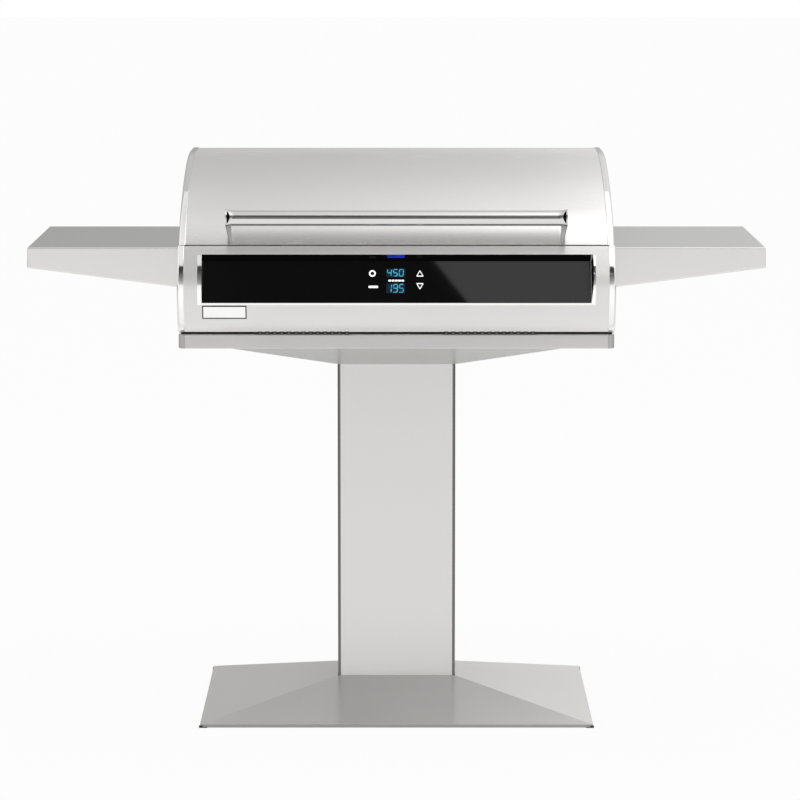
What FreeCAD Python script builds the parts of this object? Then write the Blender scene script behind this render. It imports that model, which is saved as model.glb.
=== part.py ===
import FreeCAD, Part
import math
import os

Vector = FreeCAD.Vector

# Pedestal, mm. The origin is on the floor, under the centre of the post. The front faces -Y.
BASE_HALF_X = 327.5
BASE_HALF_Y = 253.0
SKIRT_BOTTOM_Z = 1.0
SKIRT_TOP_Z = 5.5
COVER_TOP_Z = 52.0
SHEET = 1.5
PLATE_HALF_X = 290.0
PLATE_HALF_Y = 215.0
PLATE_THICKNESS = 6.0
ANCHOR_HALF_X = 150.0
ANCHOR_HALF_Y = 120.0
ANCHOR_HOLE_R = 7.0
POST_HALF_X = 100.0
POST_HALF_Y = 65.0
POST_CORNER_R = 5.0
POST_WALL = 2.0
FLANGE_THICKNESS = 6.0
FOOT_FLANGE_HALF_X = 135.0
FOOT_FLANGE_HALF_Y = 100.0
FOOT_BOLT_HALF_X = 118.0
FOOT_BOLT_HALF_Y = 83.0
HEAD_FLANGE_HALF_X = 150.0
HEAD_FLANGE_HALF_Y = 105.0
HEAD_BOLT_HALF_X = 132.0
HEAD_BOLT_HALF_Y = 85.0
GLIDE_REACH = 12.0
GLIDE_TIP = 6.0
GLIDE_WALL = 1.5
GLIDE_TOP_Z = 3.5

# Fasteners, in shank radii
BOLT_HEAD_WIDTH = 1.9
BOLT_HEAD_HEIGHT = 1.3
SCREW_HEAD_WIDTH = 2.0
SCREW_HEAD_HEIGHT = 1.0
SCREW_SOCKET_WIDTH = 0.9
SCREW_SOCKET_DEPTH = 0.6
# Clearance between the post and the sheet that slips over it
POST_GAP = 0.4

# Cradle pan and the pyramid under it
CRADLE_BOTTOM_Z = 588.0
CRADLE_HALF_X = 292.0
CRADLE_HALF_Y = 210.0
PAN_BOTTOM_Z = 633.5
PAN_TOP_Z = 656.8
PAN_HALF_X = 360.0
PAN_FRONT_Y = -235.0
PAN_BACK_Y = 218.0
PAN_CORNER_R = 11.0
PAN_FLANGE = 30.0
TRAY_HALF_X = 110.0
TRAY_FRONT_Y = -190.0
TRAY_BOTTOM_Z = 636.8
TRAY_TOP_Z = 652.0
TRAY_GAP = 0.5

# Body
BODY_BOTTOM_Z = 660.0
BODY_TOP_Z = 805.0
BODY_BACK_Y = 213.0
BODY_BACK_R = 10.0
BODY_SEAM_Y = -243.6
CAP_INNER_X = 349.0
CAP_OUTER_X = 360.0
CAP_WALL = 2.5
CAP_EDGE_R = 4.0
SKIN_INSET = 1.0
BODY_SHEET = 1.2
# Tilt of the front surface's normal at each joint of its tangent arcs, in degrees, from the top down
FRONT_TILTS = (33.65, 25.0, -9.0, -22.0, -90.0)
FRONT_RADII = (320.0, 50.0, 256.6)

# Control panel, set into the front and leaning back
GLASS_HALF_X = 319.5
GLASS_BOTTOM_Y = -267.5
GLASS_BOTTOM_Z = 712.5
GLASS_TOP_Y = -239.5
GLASS_TOP_Z = 779.0
GLASS_THICKNESS = 4.0
HEAD_STRIP_TOP_Y = -249.6
HEAD_STRIP_TOP_Z = 791.1
HEAD_STRIP_THICKNESS = 3.0
BEZEL_HALF_X = 326.5
BEZEL_BOTTOM_Z = 709.0
BEZEL_TOP_Z = 794.5
BEZEL_PROUD = 0.8
BEZEL_BACK_Y = -232.0
NAMEPLATE = (-318.0, -246.0, 686.0, 707.5)
NAMEPLATE_PROUD = 0.6
VENT_COUNT = 13
VENT_FIRST_X = 82.0
VENT_LAST_X = 225.0
VENT_SLOT_HALF_X = 3.4
VENT_SLOT_Y = (-238.0, -217.0)
FIN_HALF_X = 2.6
FIN_Y = (-232.5, -229.0)
FIN_Z = (658.0, 660.8)
REAR_SLOT_HALF_X = 14.0
REAR_SLOT_HEIGHT = 4.0
REAR_SLOT_COLUMNS = [-220.0 + 40.0 * i for i in range(12)]
REAR_SLOT_ROWS = [700.0, 714.0, 728.0]
# Where the supply lead passes the rear panel, and its clamping nut's half width
SUPPLY_X = 335.5
SUPPLY_Z = 690.0
GLAND_NUT = 12.0
LEAD_R = 4.0
BODY_BOLT_X = 338.0
BODY_BOLT_Y = (-209.0, 196.0)
BODY_BOLT_R = 3.0

# Firebox and what it holds
FIREBOX_HALF_X = 322.0
FIREBOX_FRONT_Y = -178.0
FIREBOX_BACK_Y = 190.0
FIREBOX_FLOOR_Z = 672.0
FLANGE_TOP_Z = BODY_TOP_Z - SKIN_INSET - BODY_SHEET
DRAIN_R = 15.0
RAIL_TOP_Z = 779.5
GRID_BAR_R = 4.0
GRID_ROD_R = 3.0
GRID_ROD_COUNT = 22
GRID_PITCH = 14.0
GRID_FIRST_X = 9.0
ELEMENT_Z = 735.0
ELEMENT_R = 4.0
ELEMENT_PASSES = 16
ELEMENT_HALF_X = 280.0
ELEMENT_FRONT_Y = -135.0
ELEMENT_BACK_Y = 140.0
# The two cold ends of the element pass the firebox's front wall and stand this far out of it
ELEMENT_TAIL = 12.0
TERMINAL_HALF = (14.0, 12.0)
TERMINAL_DEPTH = 11.0
PROBE_X = -308.0
PROBE_Z = 755.0
PROBE_R = 2.5

# Hood
HOOD_BOTTOM_Z = 807.0
HOOD_FRONT_Y = -241.0
HOOD_FRONT_SLOPE = 60.0
HOOD_MID_SLOPE = 30.0
HOOD_FRONT_R = 150.0
HOOD_TOP_R = 582.0
HOOD_BACK_Y = 213.0
HOOD_BACK_R = 30.0
HOOD_CAP_INNER_X = 347.0
HOOD_CAP_OUTER_X = 358.0
HOOD_DRAFT = 0.8
HOOD_SHEET = 1.5

# Handle
HANDLE_Y = -266.0
HANDLE_Z = 851.7
HANDLE_R = 12.7
HANDLE_WALL = 1.6
HANDLE_END_X = 280.5
TRUMPET_START_X = 270.5
TRUMPET_R = 15.0
LEG_INNER_X = 270.0
LEG_FOOT_X = (270.0, 275.5)
LEG_FOOT_Z = 818.0
LEG_SCREW_R = 2.0

# Hinges
HINGE_X = 250.0
HINGE_Y = 219.0
HINGE_Z = 806.0
KNUCKLE_R = 5.0
PIN_R = 3.0
PIN_CLEARANCE = 0.05
LEAF_HALF_X = 20.0
LEAF_SCREW_X = 12.0
BODY_LEAF_BOTTOM_Z = 768.0
HOOD_LEAF_Z = (808.0, 838.0)
# A body leaf's two barrels stand this far off its middle; between them turns the hood leaf's barrel
BARREL_X = 14.0
BARREL_HALF = 6.0
MIDDLE_BARREL_HALF = 7.5
LEAF_SCREW_R = 3.6
LEAF_SCREW_HEAD = 1.6

# Shelves
SHELF_OUTER_X = 610.0
SHELF_HALF_Y = 213.0
SHELF_TOP_Z = 799.0
SHELF_OUTER_BOTTOM_Z = 765.0
SHELF_INNER_BOTTOM_Z = 733.0
SHELF_HEM = 14.0
SHELF_BOLT_Y = 120.0
SHELF_BOLT_Z = (750.0, 785.0)


def block(x0, x1, y0, y1, z0, z1):
    return Part.makeBox(x1 - x0, y1 - y0, z1 - z0, Vector(x0, y0, z0))


def rounded_block(x0, x1, y0, y1, z0, z1, radius):
    """A box whose four upright edges are rounded."""
    shape = block(x0, x1, y0, y1, z0, z1)
    upright = [e for e in shape.Edges if abs(e.tangentAt(e.FirstParameter).z) > 0.9]
    return shape.makeFillet(radius, upright)


def rod(start, end, radius):
    """A round bar between two points."""
    span = Vector(*end) - Vector(*start)
    return Part.makeCylinder(radius, span.Length, Vector(*start), span)


def prism_x(points, x0, x1):
    """A polygon in (y, z), run along X."""
    wire = Part.makePolygon([Vector(x0, y, z) for y, z in points + points[:1]])
    return Part.Face(wire).extrude(Vector(x1 - x0, 0, 0))


def prism_y(points, y0, y1):
    """A polygon in (x, z), run along Y."""
    wire = Part.makePolygon([Vector(x, y0, z) for x, z in points + points[:1]])
    return Part.Face(wire).extrude(Vector(0, y1 - y0, 0))


def frustum(half_x0, half_y0, z0, half_x1, half_y1, z1):
    """A solid with flat sloping sides between two rectangles."""
    wires = []
    for half_x, half_y, z in ((half_x0, half_y0, z0), (half_x1, half_y1, z1)):
        corners = [(-half_x, -half_y), (half_x, -half_y), (half_x, half_y), (-half_x, half_y)]
        wires.append(Part.makePolygon([Vector(x, y, z) for x, y in corners + corners[:1]]))
    return Part.makeLoft(wires, True, True)


def mirrored(shape):
    """The same piece on the other side of the middle plane."""
    return shape.mirror(Vector(0, 0, 0), Vector(1, 0, 0))


def both_sides(shape):
    return [shape, mirrored(shape)]


def four_corners(x, y):
    return [(sx * x, sy * y) for sx in (-1, 1) for sy in (-1, 1)]


def joined(shapes):
    shape = shapes[0].fuse(shapes[1:]) if len(shapes) > 1 else shapes[0]
    return shape.removeSplitter()


def hexagon(centre, direction, corner_r, length):
    """A hexagonal bolt head or nut."""
    points = []
    for i in range(6):
        angle = math.radians(60 * i)
        points.append(Vector(corner_r * math.cos(angle), corner_r * math.sin(angle), 0))
    face = Part.Face(Part.makePolygon(points + points[:1]))
    solid = face.extrude(Vector(0, 0, length))
    turn = FreeCAD.Rotation(Vector(0, 0, 1), Vector(*direction))
    solid.Placement = FreeCAD.Placement(Vector(*centre), turn)
    return solid


def bolt(seat, direction, radius, length):
    """A hex bolt: its head stands on the seat, its shank runs along direction."""
    axis = Vector(*direction)
    tip = Vector(*seat) + axis * length
    head = hexagon(seat, tuple(axis * -1), BOLT_HEAD_WIDTH * radius, BOLT_HEAD_HEIGHT * radius)
    return joined([head, rod(seat, tuple(tip), radius)])


def screw(seat, direction, radius, length):
    """A low round-headed screw with a hex socket."""
    axis = Vector(*direction)
    point = Vector(*seat)
    top = tuple(point - axis * SCREW_HEAD_HEIGHT * radius)
    head = rod(seat, top, SCREW_HEAD_WIDTH * radius)
    socket = hexagon(top, direction, SCREW_SOCKET_WIDTH * radius, SCREW_SOCKET_DEPTH * radius)
    return joined([head, rod(seat, tuple(point + axis * length), radius)]).cut(socket)


def save(node, shapes):
    shapes = shapes if isinstance(shapes, list) else [shapes]
    shape = shapes[0] if len(shapes) == 1 else Part.makeCompound(shapes)
    shape.exportStep("parts/" + node + ".step")


def on_circle(centre, radius, tilt):
    """The point of a profile arc where its outward normal has this tilt above -Y."""
    angle = math.radians(tilt)
    return Vector(0, centre[0] - radius * math.cos(angle), centre[1] + radius * math.sin(angle))


def profile_arc(centre, radius, tilt0, tilt1):
    points = [on_circle(centre, radius, t) for t in (tilt0, (tilt0 + tilt1) / 2, tilt1)]
    return Part.Arc(*points).toShape()


def front_arcs():
    """The centre, radius and end tilts of each arc down the front of the body."""
    arcs = []
    y, z = BODY_SEAM_Y, BODY_TOP_Z
    for i, tilt in enumerate(FRONT_TILTS[:-1]):
        sine, cosine = math.sin(math.radians(tilt)), math.cos(math.radians(tilt))
        last = i == len(FRONT_RADII)
        radius = (z - BODY_BOTTOM_Z) / (1 + sine) if last else FRONT_RADII[i]
        centre = (y + radius * cosine, z - radius * sine)
        arcs.append((centre, radius, tilt, FRONT_TILTS[i + 1]))
        end = on_circle(centre, radius, FRONT_TILTS[i + 1])
        y, z = end.y, end.z
    return arcs


def body_profile(inset, x0, x1):
    """The side outline of the body, moved in by inset and run along X."""
    top_z = BODY_TOP_Z - inset
    back_y = BODY_BACK_Y - inset
    bottom_z = BODY_BOTTOM_Z + inset
    edges = []
    for i, (centre, radius, tilt0, tilt1) in enumerate(front_arcs()):
        if i == 0:
            tilt0 = math.degrees(math.asin((top_z - centre[1]) / (radius - inset)))
        edges.append(profile_arc(centre, radius - inset, tilt0, tilt1))
    corner = Vector(0, BODY_BACK_Y - BODY_BACK_R, BODY_BOTTOM_Z + BODY_BACK_R)
    lower = Vector(0, corner.y, bottom_z)
    upper = Vector(0, back_y, corner.z)
    middle = corner + Vector(0, 1, -1).normalize() * (BODY_BACK_R - inset)
    front_top = edges[0].Vertexes[0].Point
    if abs(front_top.z - top_z) > 0.01:
        front_top = edges[0].Vertexes[-1].Point
    bottom = on_circle(front_arcs()[-1][0], front_arcs()[-1][1] - inset, -90)
    back_top = Vector(0, back_y, top_z)
    edges.append(Part.LineSegment(bottom, lower).toShape())
    edges.append(Part.Arc(lower, middle, upper).toShape())
    edges.append(Part.LineSegment(upper, back_top).toShape())
    edges.append(Part.LineSegment(back_top, front_top).toShape())
    return run_along_x(edges, x0, x1)


def hood_centres():
    """The centres of the two arcs of the hood's front and top, and its height."""
    front_slope = math.radians(HOOD_FRONT_SLOPE)
    mid_slope = math.radians(HOOD_MID_SLOPE)
    front_y = HOOD_FRONT_Y + HOOD_FRONT_R * math.sin(front_slope)
    front = (front_y, HOOD_BOTTOM_Z - HOOD_FRONT_R * math.cos(front_slope))
    radius_step = HOOD_TOP_R - HOOD_FRONT_R
    top = (front[0] + radius_step * math.sin(mid_slope), front[1] - radius_step * math.cos(mid_slope))
    return front, top, top[1] + HOOD_TOP_R


def hood_profile(inset, x0, x1):
    """The side outline of the hood, moved in by inset and run along X. Its foot stays at one height."""
    front, top, top_z = hood_centres()
    foot_tilt = math.degrees(math.asin((HOOD_BOTTOM_Z - front[1]) / (HOOD_FRONT_R - inset)))
    front_foot = on_circle(front, HOOD_FRONT_R - inset, foot_tilt)
    top_middle = on_circle(top, HOOD_TOP_R - inset, 90)
    corner = Vector(0, HOOD_BACK_Y - HOOD_BACK_R, top_z - HOOD_BACK_R)
    reach = HOOD_BACK_R - inset
    back_foot = Vector(0, HOOD_BACK_Y - inset, HOOD_BOTTOM_Z)
    above = corner + Vector(0, 0, reach)
    behind = corner + Vector(0, reach, 0)
    middle = corner + Vector(0, 1, 1).normalize() * reach
    edges = [
        profile_arc(front, HOOD_FRONT_R - inset, foot_tilt, 90 - HOOD_MID_SLOPE),
        profile_arc(top, HOOD_TOP_R - inset, 90 - HOOD_MID_SLOPE, 90),
        Part.LineSegment(top_middle, above).toShape(),
        Part.Arc(above, middle, behind).toShape(),
        Part.LineSegment(behind, back_foot).toShape(),
        Part.LineSegment(back_foot, front_foot).toShape(),
    ]
    return run_along_x(edges, x0, x1)


def run_along_x(edges, x0, x1):
    face = Part.Face(Part.Wire(Part.__sortEdges__(edges)))
    face.translate(Vector(x0, 0, 0))
    return face.extrude(Vector(x1 - x0, 0, 0))


def edges_at_x(shape, x, lowest_z):
    """The edges of a face across X whose middle is above a height."""
    found = []
    for edge in shape.Edges:
        box = edge.BoundBox
        if abs(box.XMin - x) < 0.01 and abs(box.XMax - x) < 0.01 and box.ZMax > lowest_z:
            found.append(edge)
    return found


def on_glass(shape):
    """Lean a piece drawn upright, with its front at y = 0, back onto the glass."""
    lean = math.degrees(math.atan2(GLASS_TOP_Y - GLASS_BOTTOM_Y, GLASS_TOP_Z - GLASS_BOTTOM_Z))
    shape.rotate(Vector(0, 0, 0), Vector(1, 0, 0), -lean)
    shape.translate(Vector(0, GLASS_BOTTOM_Y, GLASS_BOTTOM_Z))
    return shape


def glass_length():
    return math.hypot(GLASS_TOP_Y - GLASS_BOTTOM_Y, GLASS_TOP_Z - GLASS_BOTTOM_Z)


def base_cover():
    """The low pyramid of sheet that slips down the post and hides the floor plate."""
    inner_x, inner_y = BASE_HALF_X - SHEET, BASE_HALF_Y - SHEET
    roof = frustum(BASE_HALF_X, BASE_HALF_Y, SKIRT_TOP_Z, POST_HALF_X, POST_HALF_Y, COVER_TOP_Z)
    skirt = block(-BASE_HALF_X, BASE_HALF_X, -BASE_HALF_Y, BASE_HALF_Y, SKIRT_BOTTOM_Z, SKIRT_TOP_Z)
    under_roof = roof.copy()
    under_roof.translate(Vector(0, 0, -SHEET))
    under_roof = under_roof.common(block(-inner_x, inner_x, -inner_y, inner_y, 0, COVER_TOP_Z))
    hollow = block(-inner_x, inner_x, -inner_y, inner_y, 0, SKIRT_TOP_Z - SHEET)
    return joined([roof, skirt]).cut(joined([under_roof, hollow])).cut(post_space(0, COVER_TOP_Z + 10))


def post_space(z0, z1):
    """What a sheet that slips over the post leaves free."""
    half_x, half_y = POST_HALF_X + POST_GAP, POST_HALF_Y + POST_GAP
    return rounded_block(-half_x, half_x, -half_y, half_y, z0, z1, POST_CORNER_R + POST_GAP)


def floor_plate():
    """The steel plate that rests on the ground and takes the four anchors."""
    plate = rounded_block(
        -PLATE_HALF_X, PLATE_HALF_X, -PLATE_HALF_Y, PLATE_HALF_Y, 0, PLATE_THICKNESS, 12)
    for x, y in four_corners(ANCHOR_HALF_X, ANCHOR_HALF_Y):
        plate = plate.cut(rod((x, y, -1), (x, y, PLATE_THICKNESS + 1), ANCHOR_HOLE_R))
    for x, y in four_corners(FOOT_BOLT_HALF_X, FOOT_BOLT_HALF_Y):
        plate = plate.cut(rod((x, y, 0.5), (x, y, PLATE_THICKNESS + 1), 5))
    return plate


def corner_glides():
    """A black glide wraps each corner of the cover and lifts it off the ground."""
    outer_x, outer_y = BASE_HALF_X + GLIDE_WALL, BASE_HALF_Y + GLIDE_WALL
    inner_x, inner_y = BASE_HALF_X - GLIDE_REACH, BASE_HALF_Y - GLIDE_REACH
    sole = block(inner_x, outer_x, inner_y, outer_y, 0, SKIRT_BOTTOM_Z)
    plug = block(inner_x, BASE_HALF_X - SHEET, inner_y, BASE_HALF_Y - SHEET, 0, SKIRT_TOP_Z - 2 * SHEET)
    wrap = block(outer_x - GLIDE_TIP, outer_x, outer_y - GLIDE_TIP, outer_y, 0, GLIDE_TOP_Z)
    wrap = wrap.cut(block(inner_x, BASE_HALF_X, inner_y, BASE_HALF_Y, SKIRT_BOTTOM_Z, GLIDE_TOP_Z + 1))
    glide = joined([sole, plug, wrap])
    rear = both_sides(glide)
    return rear + [g.mirror(Vector(0, 0, 0), Vector(0, 1, 0)) for g in rear]


def post_tube():
    top = PAN_BOTTOM_Z - FLANGE_THICKNESS
    inner_x, inner_y = POST_HALF_X - POST_WALL, POST_HALF_Y - POST_WALL
    outside = rounded_block(
        -POST_HALF_X, POST_HALF_X, -POST_HALF_Y, POST_HALF_Y, PLATE_THICKNESS, top, POST_CORNER_R)
    inside = rounded_block(
        -inner_x, inner_x, -inner_y, inner_y, PLATE_THICKNESS - 1, top + 1, POST_CORNER_R - POST_WALL)
    return outside.cut(inside)


def post_foot_flange():
    top = PLATE_THICKNESS + FLANGE_THICKNESS
    half_x, half_y = FOOT_FLANGE_HALF_X, FOOT_FLANGE_HALF_Y
    flange = block(-half_x, half_x, -half_y, half_y, PLATE_THICKNESS, top)
    flange = flange.cut(rounded_block(
        -POST_HALF_X, POST_HALF_X, -POST_HALF_Y, POST_HALF_Y, 0, top + 1, POST_CORNER_R))
    for x, y in four_corners(FOOT_BOLT_HALF_X, FOOT_BOLT_HALF_Y):
        flange = flange.cut(rod((x, y, 0), (x, y, top + 1), 5))
    return flange


def foot_bolts():
    seat = PLATE_THICKNESS + FLANGE_THICKNESS
    places = four_corners(FOOT_BOLT_HALF_X, FOOT_BOLT_HALF_Y)
    return [bolt((x, y, seat), (0, 0, -1), 5, seat - 0.5) for x, y in places]


def post_head_flange():
    bottom = PAN_BOTTOM_Z - FLANGE_THICKNESS
    flange = rounded_block(
        -HEAD_FLANGE_HALF_X, HEAD_FLANGE_HALF_X, -HEAD_FLANGE_HALF_Y, HEAD_FLANGE_HALF_Y,
        bottom, PAN_BOTTOM_Z, 8)
    for x, y in four_corners(HEAD_BOLT_HALF_X, HEAD_BOLT_HALF_Y):
        flange = flange.cut(rod((x, y, bottom - 1), (x, y, PAN_BOTTOM_Z + 1), 4))
    return flange


def head_bolts():
    """Each bolt comes up through the flange and the pan's floor, with its nut on top."""
    solids = []
    seat = PAN_BOTTOM_Z - FLANGE_THICKNESS
    floor_top = PAN_BOTTOM_Z + SHEET
    for x, y in four_corners(HEAD_BOLT_HALF_X, HEAD_BOLT_HALF_Y):
        nut = hexagon((x, y, floor_top), (0, 0, 1), 7, 5)
        solids.append(bolt((x, y, seat), (0, 0, 1), 4, floor_top - seat + 6))
        solids.append(nut.cut(rod((x, y, floor_top - 1), (x, y, floor_top + 7), 4)))
    return solids


def cradle_pyramid():
    """The shallow upturned pyramid between the post and the pan."""
    outside = frustum(
        POST_HALF_X + POST_GAP, POST_HALF_Y + POST_GAP, CRADLE_BOTTOM_Z,
        CRADLE_HALF_X, CRADLE_HALF_Y, PAN_BOTTOM_Z)
    inside = outside.copy()
    inside.translate(Vector(0, 0, SHEET))
    flange_z = PAN_BOTTOM_Z - SHEET
    inside = inside.common(block(-PAN_HALF_X, PAN_HALF_X, -PAN_HALF_X, PAN_HALF_X, 0, flange_z))
    hem = 22.0
    mouth_x, mouth_y = CRADLE_HALF_X - hem, CRADLE_HALF_Y - hem
    mouth = block(-mouth_x, mouth_x, -mouth_y, mouth_y, flange_z - 1, PAN_BOTTOM_Z + 1)
    return outside.cut(joined([inside, mouth])).cut(post_space(CRADLE_BOTTOM_Z - 5, PAN_BOTTOM_Z - 8))


def cradle_pan():
    """The shallow pan that carries the grill body and houses the grease tray."""
    wall_y0, wall_y1 = PAN_FRONT_Y + SHEET, PAN_BACK_Y - SHEET
    wall_x = PAN_HALF_X - SHEET
    outside = rounded_block(
        -PAN_HALF_X, PAN_HALF_X, PAN_FRONT_Y, PAN_BACK_Y, PAN_BOTTOM_Z, PAN_TOP_Z, PAN_CORNER_R)
    inside = rounded_block(
        -wall_x, wall_x, wall_y0, wall_y1, PAN_BOTTOM_Z + SHEET, PAN_TOP_Z - SHEET, PAN_CORNER_R - SHEET)
    mouth_x = PAN_HALF_X - PAN_FLANGE
    mouth = block(
        -mouth_x, mouth_x, PAN_FRONT_Y + PAN_FLANGE, PAN_BACK_Y - PAN_FLANGE, PAN_TOP_Z - 5, PAN_TOP_Z + 1)
    slot_x = TRAY_HALF_X + 4
    slot = block(-slot_x, slot_x, wall_y1 - 5, PAN_BACK_Y + 1, PAN_BOTTOM_Z + 2 * SHEET, PAN_TOP_Z - 2)
    pan = outside.cut(inside).cut(mouth).cut(slot)
    for x, y in four_corners(HEAD_BOLT_HALF_X, HEAD_BOLT_HALF_Y):
        pan = pan.cut(rod((x, y, PAN_BOTTOM_Z - 1), (x, y, PAN_BOTTOM_Z + 3), 4))
    return body_bolt_holes(pan)


def body_bolt_places():
    return [(sx * BODY_BOLT_X, y) for sx in (-1, 1) for y in BODY_BOLT_Y]


def body_bolt_holes(sheet):
    """A sheet with the holes for the bolts that hold the body on the pan."""
    for x, y in body_bolt_places():
        sheet = sheet.cut(rod((x, y, PAN_TOP_Z - 5), (x, y, BODY_BOTTOM_Z + 10), BODY_BOLT_R))
    return sheet


def body_bolts():
    """Four bolts come up from inside the pan into the floor of the body."""
    solids = []
    seat = PAN_TOP_Z - SHEET
    top = BODY_BOTTOM_Z + SKIN_INSET + 2 * BODY_SHEET
    for x, y in body_bolt_places():
        nut = hexagon((x, y, top), (0, 0, 1), 5.5, 4)
        solids.append(bolt((x, y, seat), (0, 0, 1), BODY_BOLT_R, top - seat + 5))
        solids.append(nut.cut(rod((x, y, top - 1), (x, y, top + 5), BODY_BOLT_R)))
    return solids


def tray_rails():
    """Two angle rails on the pan's floor guide the grease tray."""
    floor_z = PAN_BOTTOM_Z + SHEET
    guide_x = TRAY_HALF_X + TRAY_GAP
    back_y = PAN_BACK_Y - SHEET - 1
    upright = block(guide_x, guide_x + SHEET, TRAY_FRONT_Y, back_y, floor_z, floor_z + 12)
    sole = block(TRAY_HALF_X - 12, guide_x + 9, TRAY_FRONT_Y, back_y, floor_z, TRAY_BOTTOM_Z - TRAY_GAP)
    return both_sides(joined([upright, sole]))


def grease_tray():
    """The shallow tray under the drain; it draws out to the rear by its lip."""
    back_y = PAN_BACK_Y + TRAY_GAP
    tray = block(-TRAY_HALF_X, TRAY_HALF_X, TRAY_FRONT_Y, back_y, TRAY_BOTTOM_Z, TRAY_TOP_Z)
    inner_x = TRAY_HALF_X - SHEET
    tray = tray.cut(block(
        -inner_x, inner_x, TRAY_FRONT_Y + SHEET, back_y - 8, TRAY_BOTTOM_Z + SHEET, TRAY_TOP_Z + 1))
    face_x = TRAY_HALF_X + 14
    face = block(-face_x, face_x, back_y, back_y + SHEET, PAN_BOTTOM_Z + 1, PAN_TOP_Z - 1)
    lip_z = PAN_TOP_Z - 6
    lip = block(-45, 45, back_y, back_y + 12, lip_z, lip_z + SHEET)
    curl = block(-45, 45, back_y + 12 - SHEET, back_y + 12, lip_z - 5, lip_z)
    return joined([tray, face, lip, curl])


def body_gasket():
    """A black strip seals the gap between the pan and the body."""
    seal_z = BODY_BOTTOM_Z + SKIN_INSET
    bar_x = CAP_INNER_X - 0.5
    side = block(bar_x, CAP_OUTER_X - 4, -222, 198, PAN_TOP_Z, BODY_BOTTOM_Z)
    front = block(-bar_x, bar_x, -226, -216, PAN_TOP_Z, seal_z)
    back = block(-bar_x, bar_x, 182, 190, PAN_TOP_Z, seal_z)
    return joined([front, back] + both_sides(side))


def body_end_cap():
    """The right end of the body: a polished rim with a flat side, hollow behind."""
    cap = body_profile(0, CAP_INNER_X, CAP_OUTER_X)
    cap = cap.makeFillet(CAP_EDGE_R, edges_at_x(cap, CAP_OUTER_X, 0))
    cap = cap.cut(body_profile(CAP_WALL, CAP_INNER_X - 1, CAP_OUTER_X - CAP_WALL))
    for y in (-SHELF_BOLT_Y, SHELF_BOLT_Y):
        for z in SHELF_BOLT_Z:
            cap = cap.cut(rod((CAP_OUTER_X - 10, y, z), (CAP_OUTER_X + 1, y, z), 3))
    return cap


def body_wrap():
    """The thin skin that follows the body's outline between the end caps."""
    outside = body_profile(SKIN_INSET, -CAP_INNER_X, CAP_INNER_X)
    return outside.cut(body_profile(SKIN_INSET + BODY_SHEET, -CAP_INNER_X - 1, CAP_INNER_X + 1))


def vent_places():
    step = (VENT_LAST_X - VENT_FIRST_X) / (VENT_COUNT - 1)
    middles = [VENT_FIRST_X + step * i for i in range(VENT_COUNT)]
    return [-x for x in middles] + middles


def fascia():
    """The brushed front sheet, with its window, its vent slots and its two return flanges."""
    sheet = body_wrap().common(block(-400, 400, -300, -200, 600, 900))
    sheet = sheet.cut(block(-BEZEL_HALF_X, BEZEL_HALF_X, -300, BEZEL_BACK_Y, BEZEL_BOTTOM_Z, BEZEL_TOP_Z))
    slots = [block(x - VENT_SLOT_HALF_X, x + VENT_SLOT_HALF_X, *VENT_SLOT_Y, 655, 668) for x in vent_places()]
    return body_bolt_holes(sheet.cut(Part.makeCompound(slots))).removeSplitter()


def vent_louvres():
    """The strip of small bent fins behind the vent slots; their tips hang in the gap."""
    solids = []
    for run in (vent_places()[:VENT_COUNT], vent_places()[VENT_COUNT:]):
        pieces = [block(min(run) - 8, max(run) + 8, -230, -226.5, PAN_TOP_Z, BODY_BOTTOM_Z + SKIN_INSET)]
        pieces += [block(x - FIN_HALF_X, x + FIN_HALF_X, *FIN_Y, *FIN_Z) for x in run]
        solids.append(joined(pieces))
    return solids


def rear_panel():
    """The back of the body, with three rows of cooling slots and the hole for the supply lead."""
    panel = body_wrap().common(block(-400, 400, FIREBOX_BACK_Y - 1, 300, 600, 900))
    slots = []
    for z in REAR_SLOT_ROWS:
        for x in REAR_SLOT_COLUMNS:
            slots.append(block(
                x - REAR_SLOT_HALF_X, x + REAR_SLOT_HALF_X, BODY_BACK_Y - 5, BODY_BACK_Y + 5,
                z, z + REAR_SLOT_HEIGHT))
    panel = body_bolt_holes(panel.cut(Part.makeCompound(slots)))
    panel = panel.cut(rod((SUPPLY_X, 200, SUPPLY_Z), (SUPPLY_X, 220, SUPPLY_Z), 8))
    for x, z in rear_screw_places():
        panel = panel.cut(rod((x, 200, z), (x, 220, z), 2))
    return panel


def rear_screw_places():
    return [(sx * x, 682.0) for sx in (-1, 1) for x in (60.0, 180.0, 290.0)]


def rear_screws():
    outer_y = BODY_BACK_Y - SKIN_INSET
    return [screw((x, outer_y, z), (0, -1, 0), 2, 6) for x, z in rear_screw_places()]


def floor_panel():
    """The sheet that closes the body underneath, on the two bottom flanges."""
    bottom = BODY_BOTTOM_Z + SKIN_INSET + BODY_SHEET
    panel = block(-CAP_INNER_X, CAP_INNER_X, -215, 202, bottom, bottom + BODY_SHEET)
    return body_bolt_holes(panel.cut(rod((0, 0, 650), (0, 0, 670), DRAIN_R + 1)))


def control_glass():
    return on_glass(block(-GLASS_HALF_X, GLASS_HALF_X, 0, GLASS_THICKNESS, 0, glass_length()))


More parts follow.
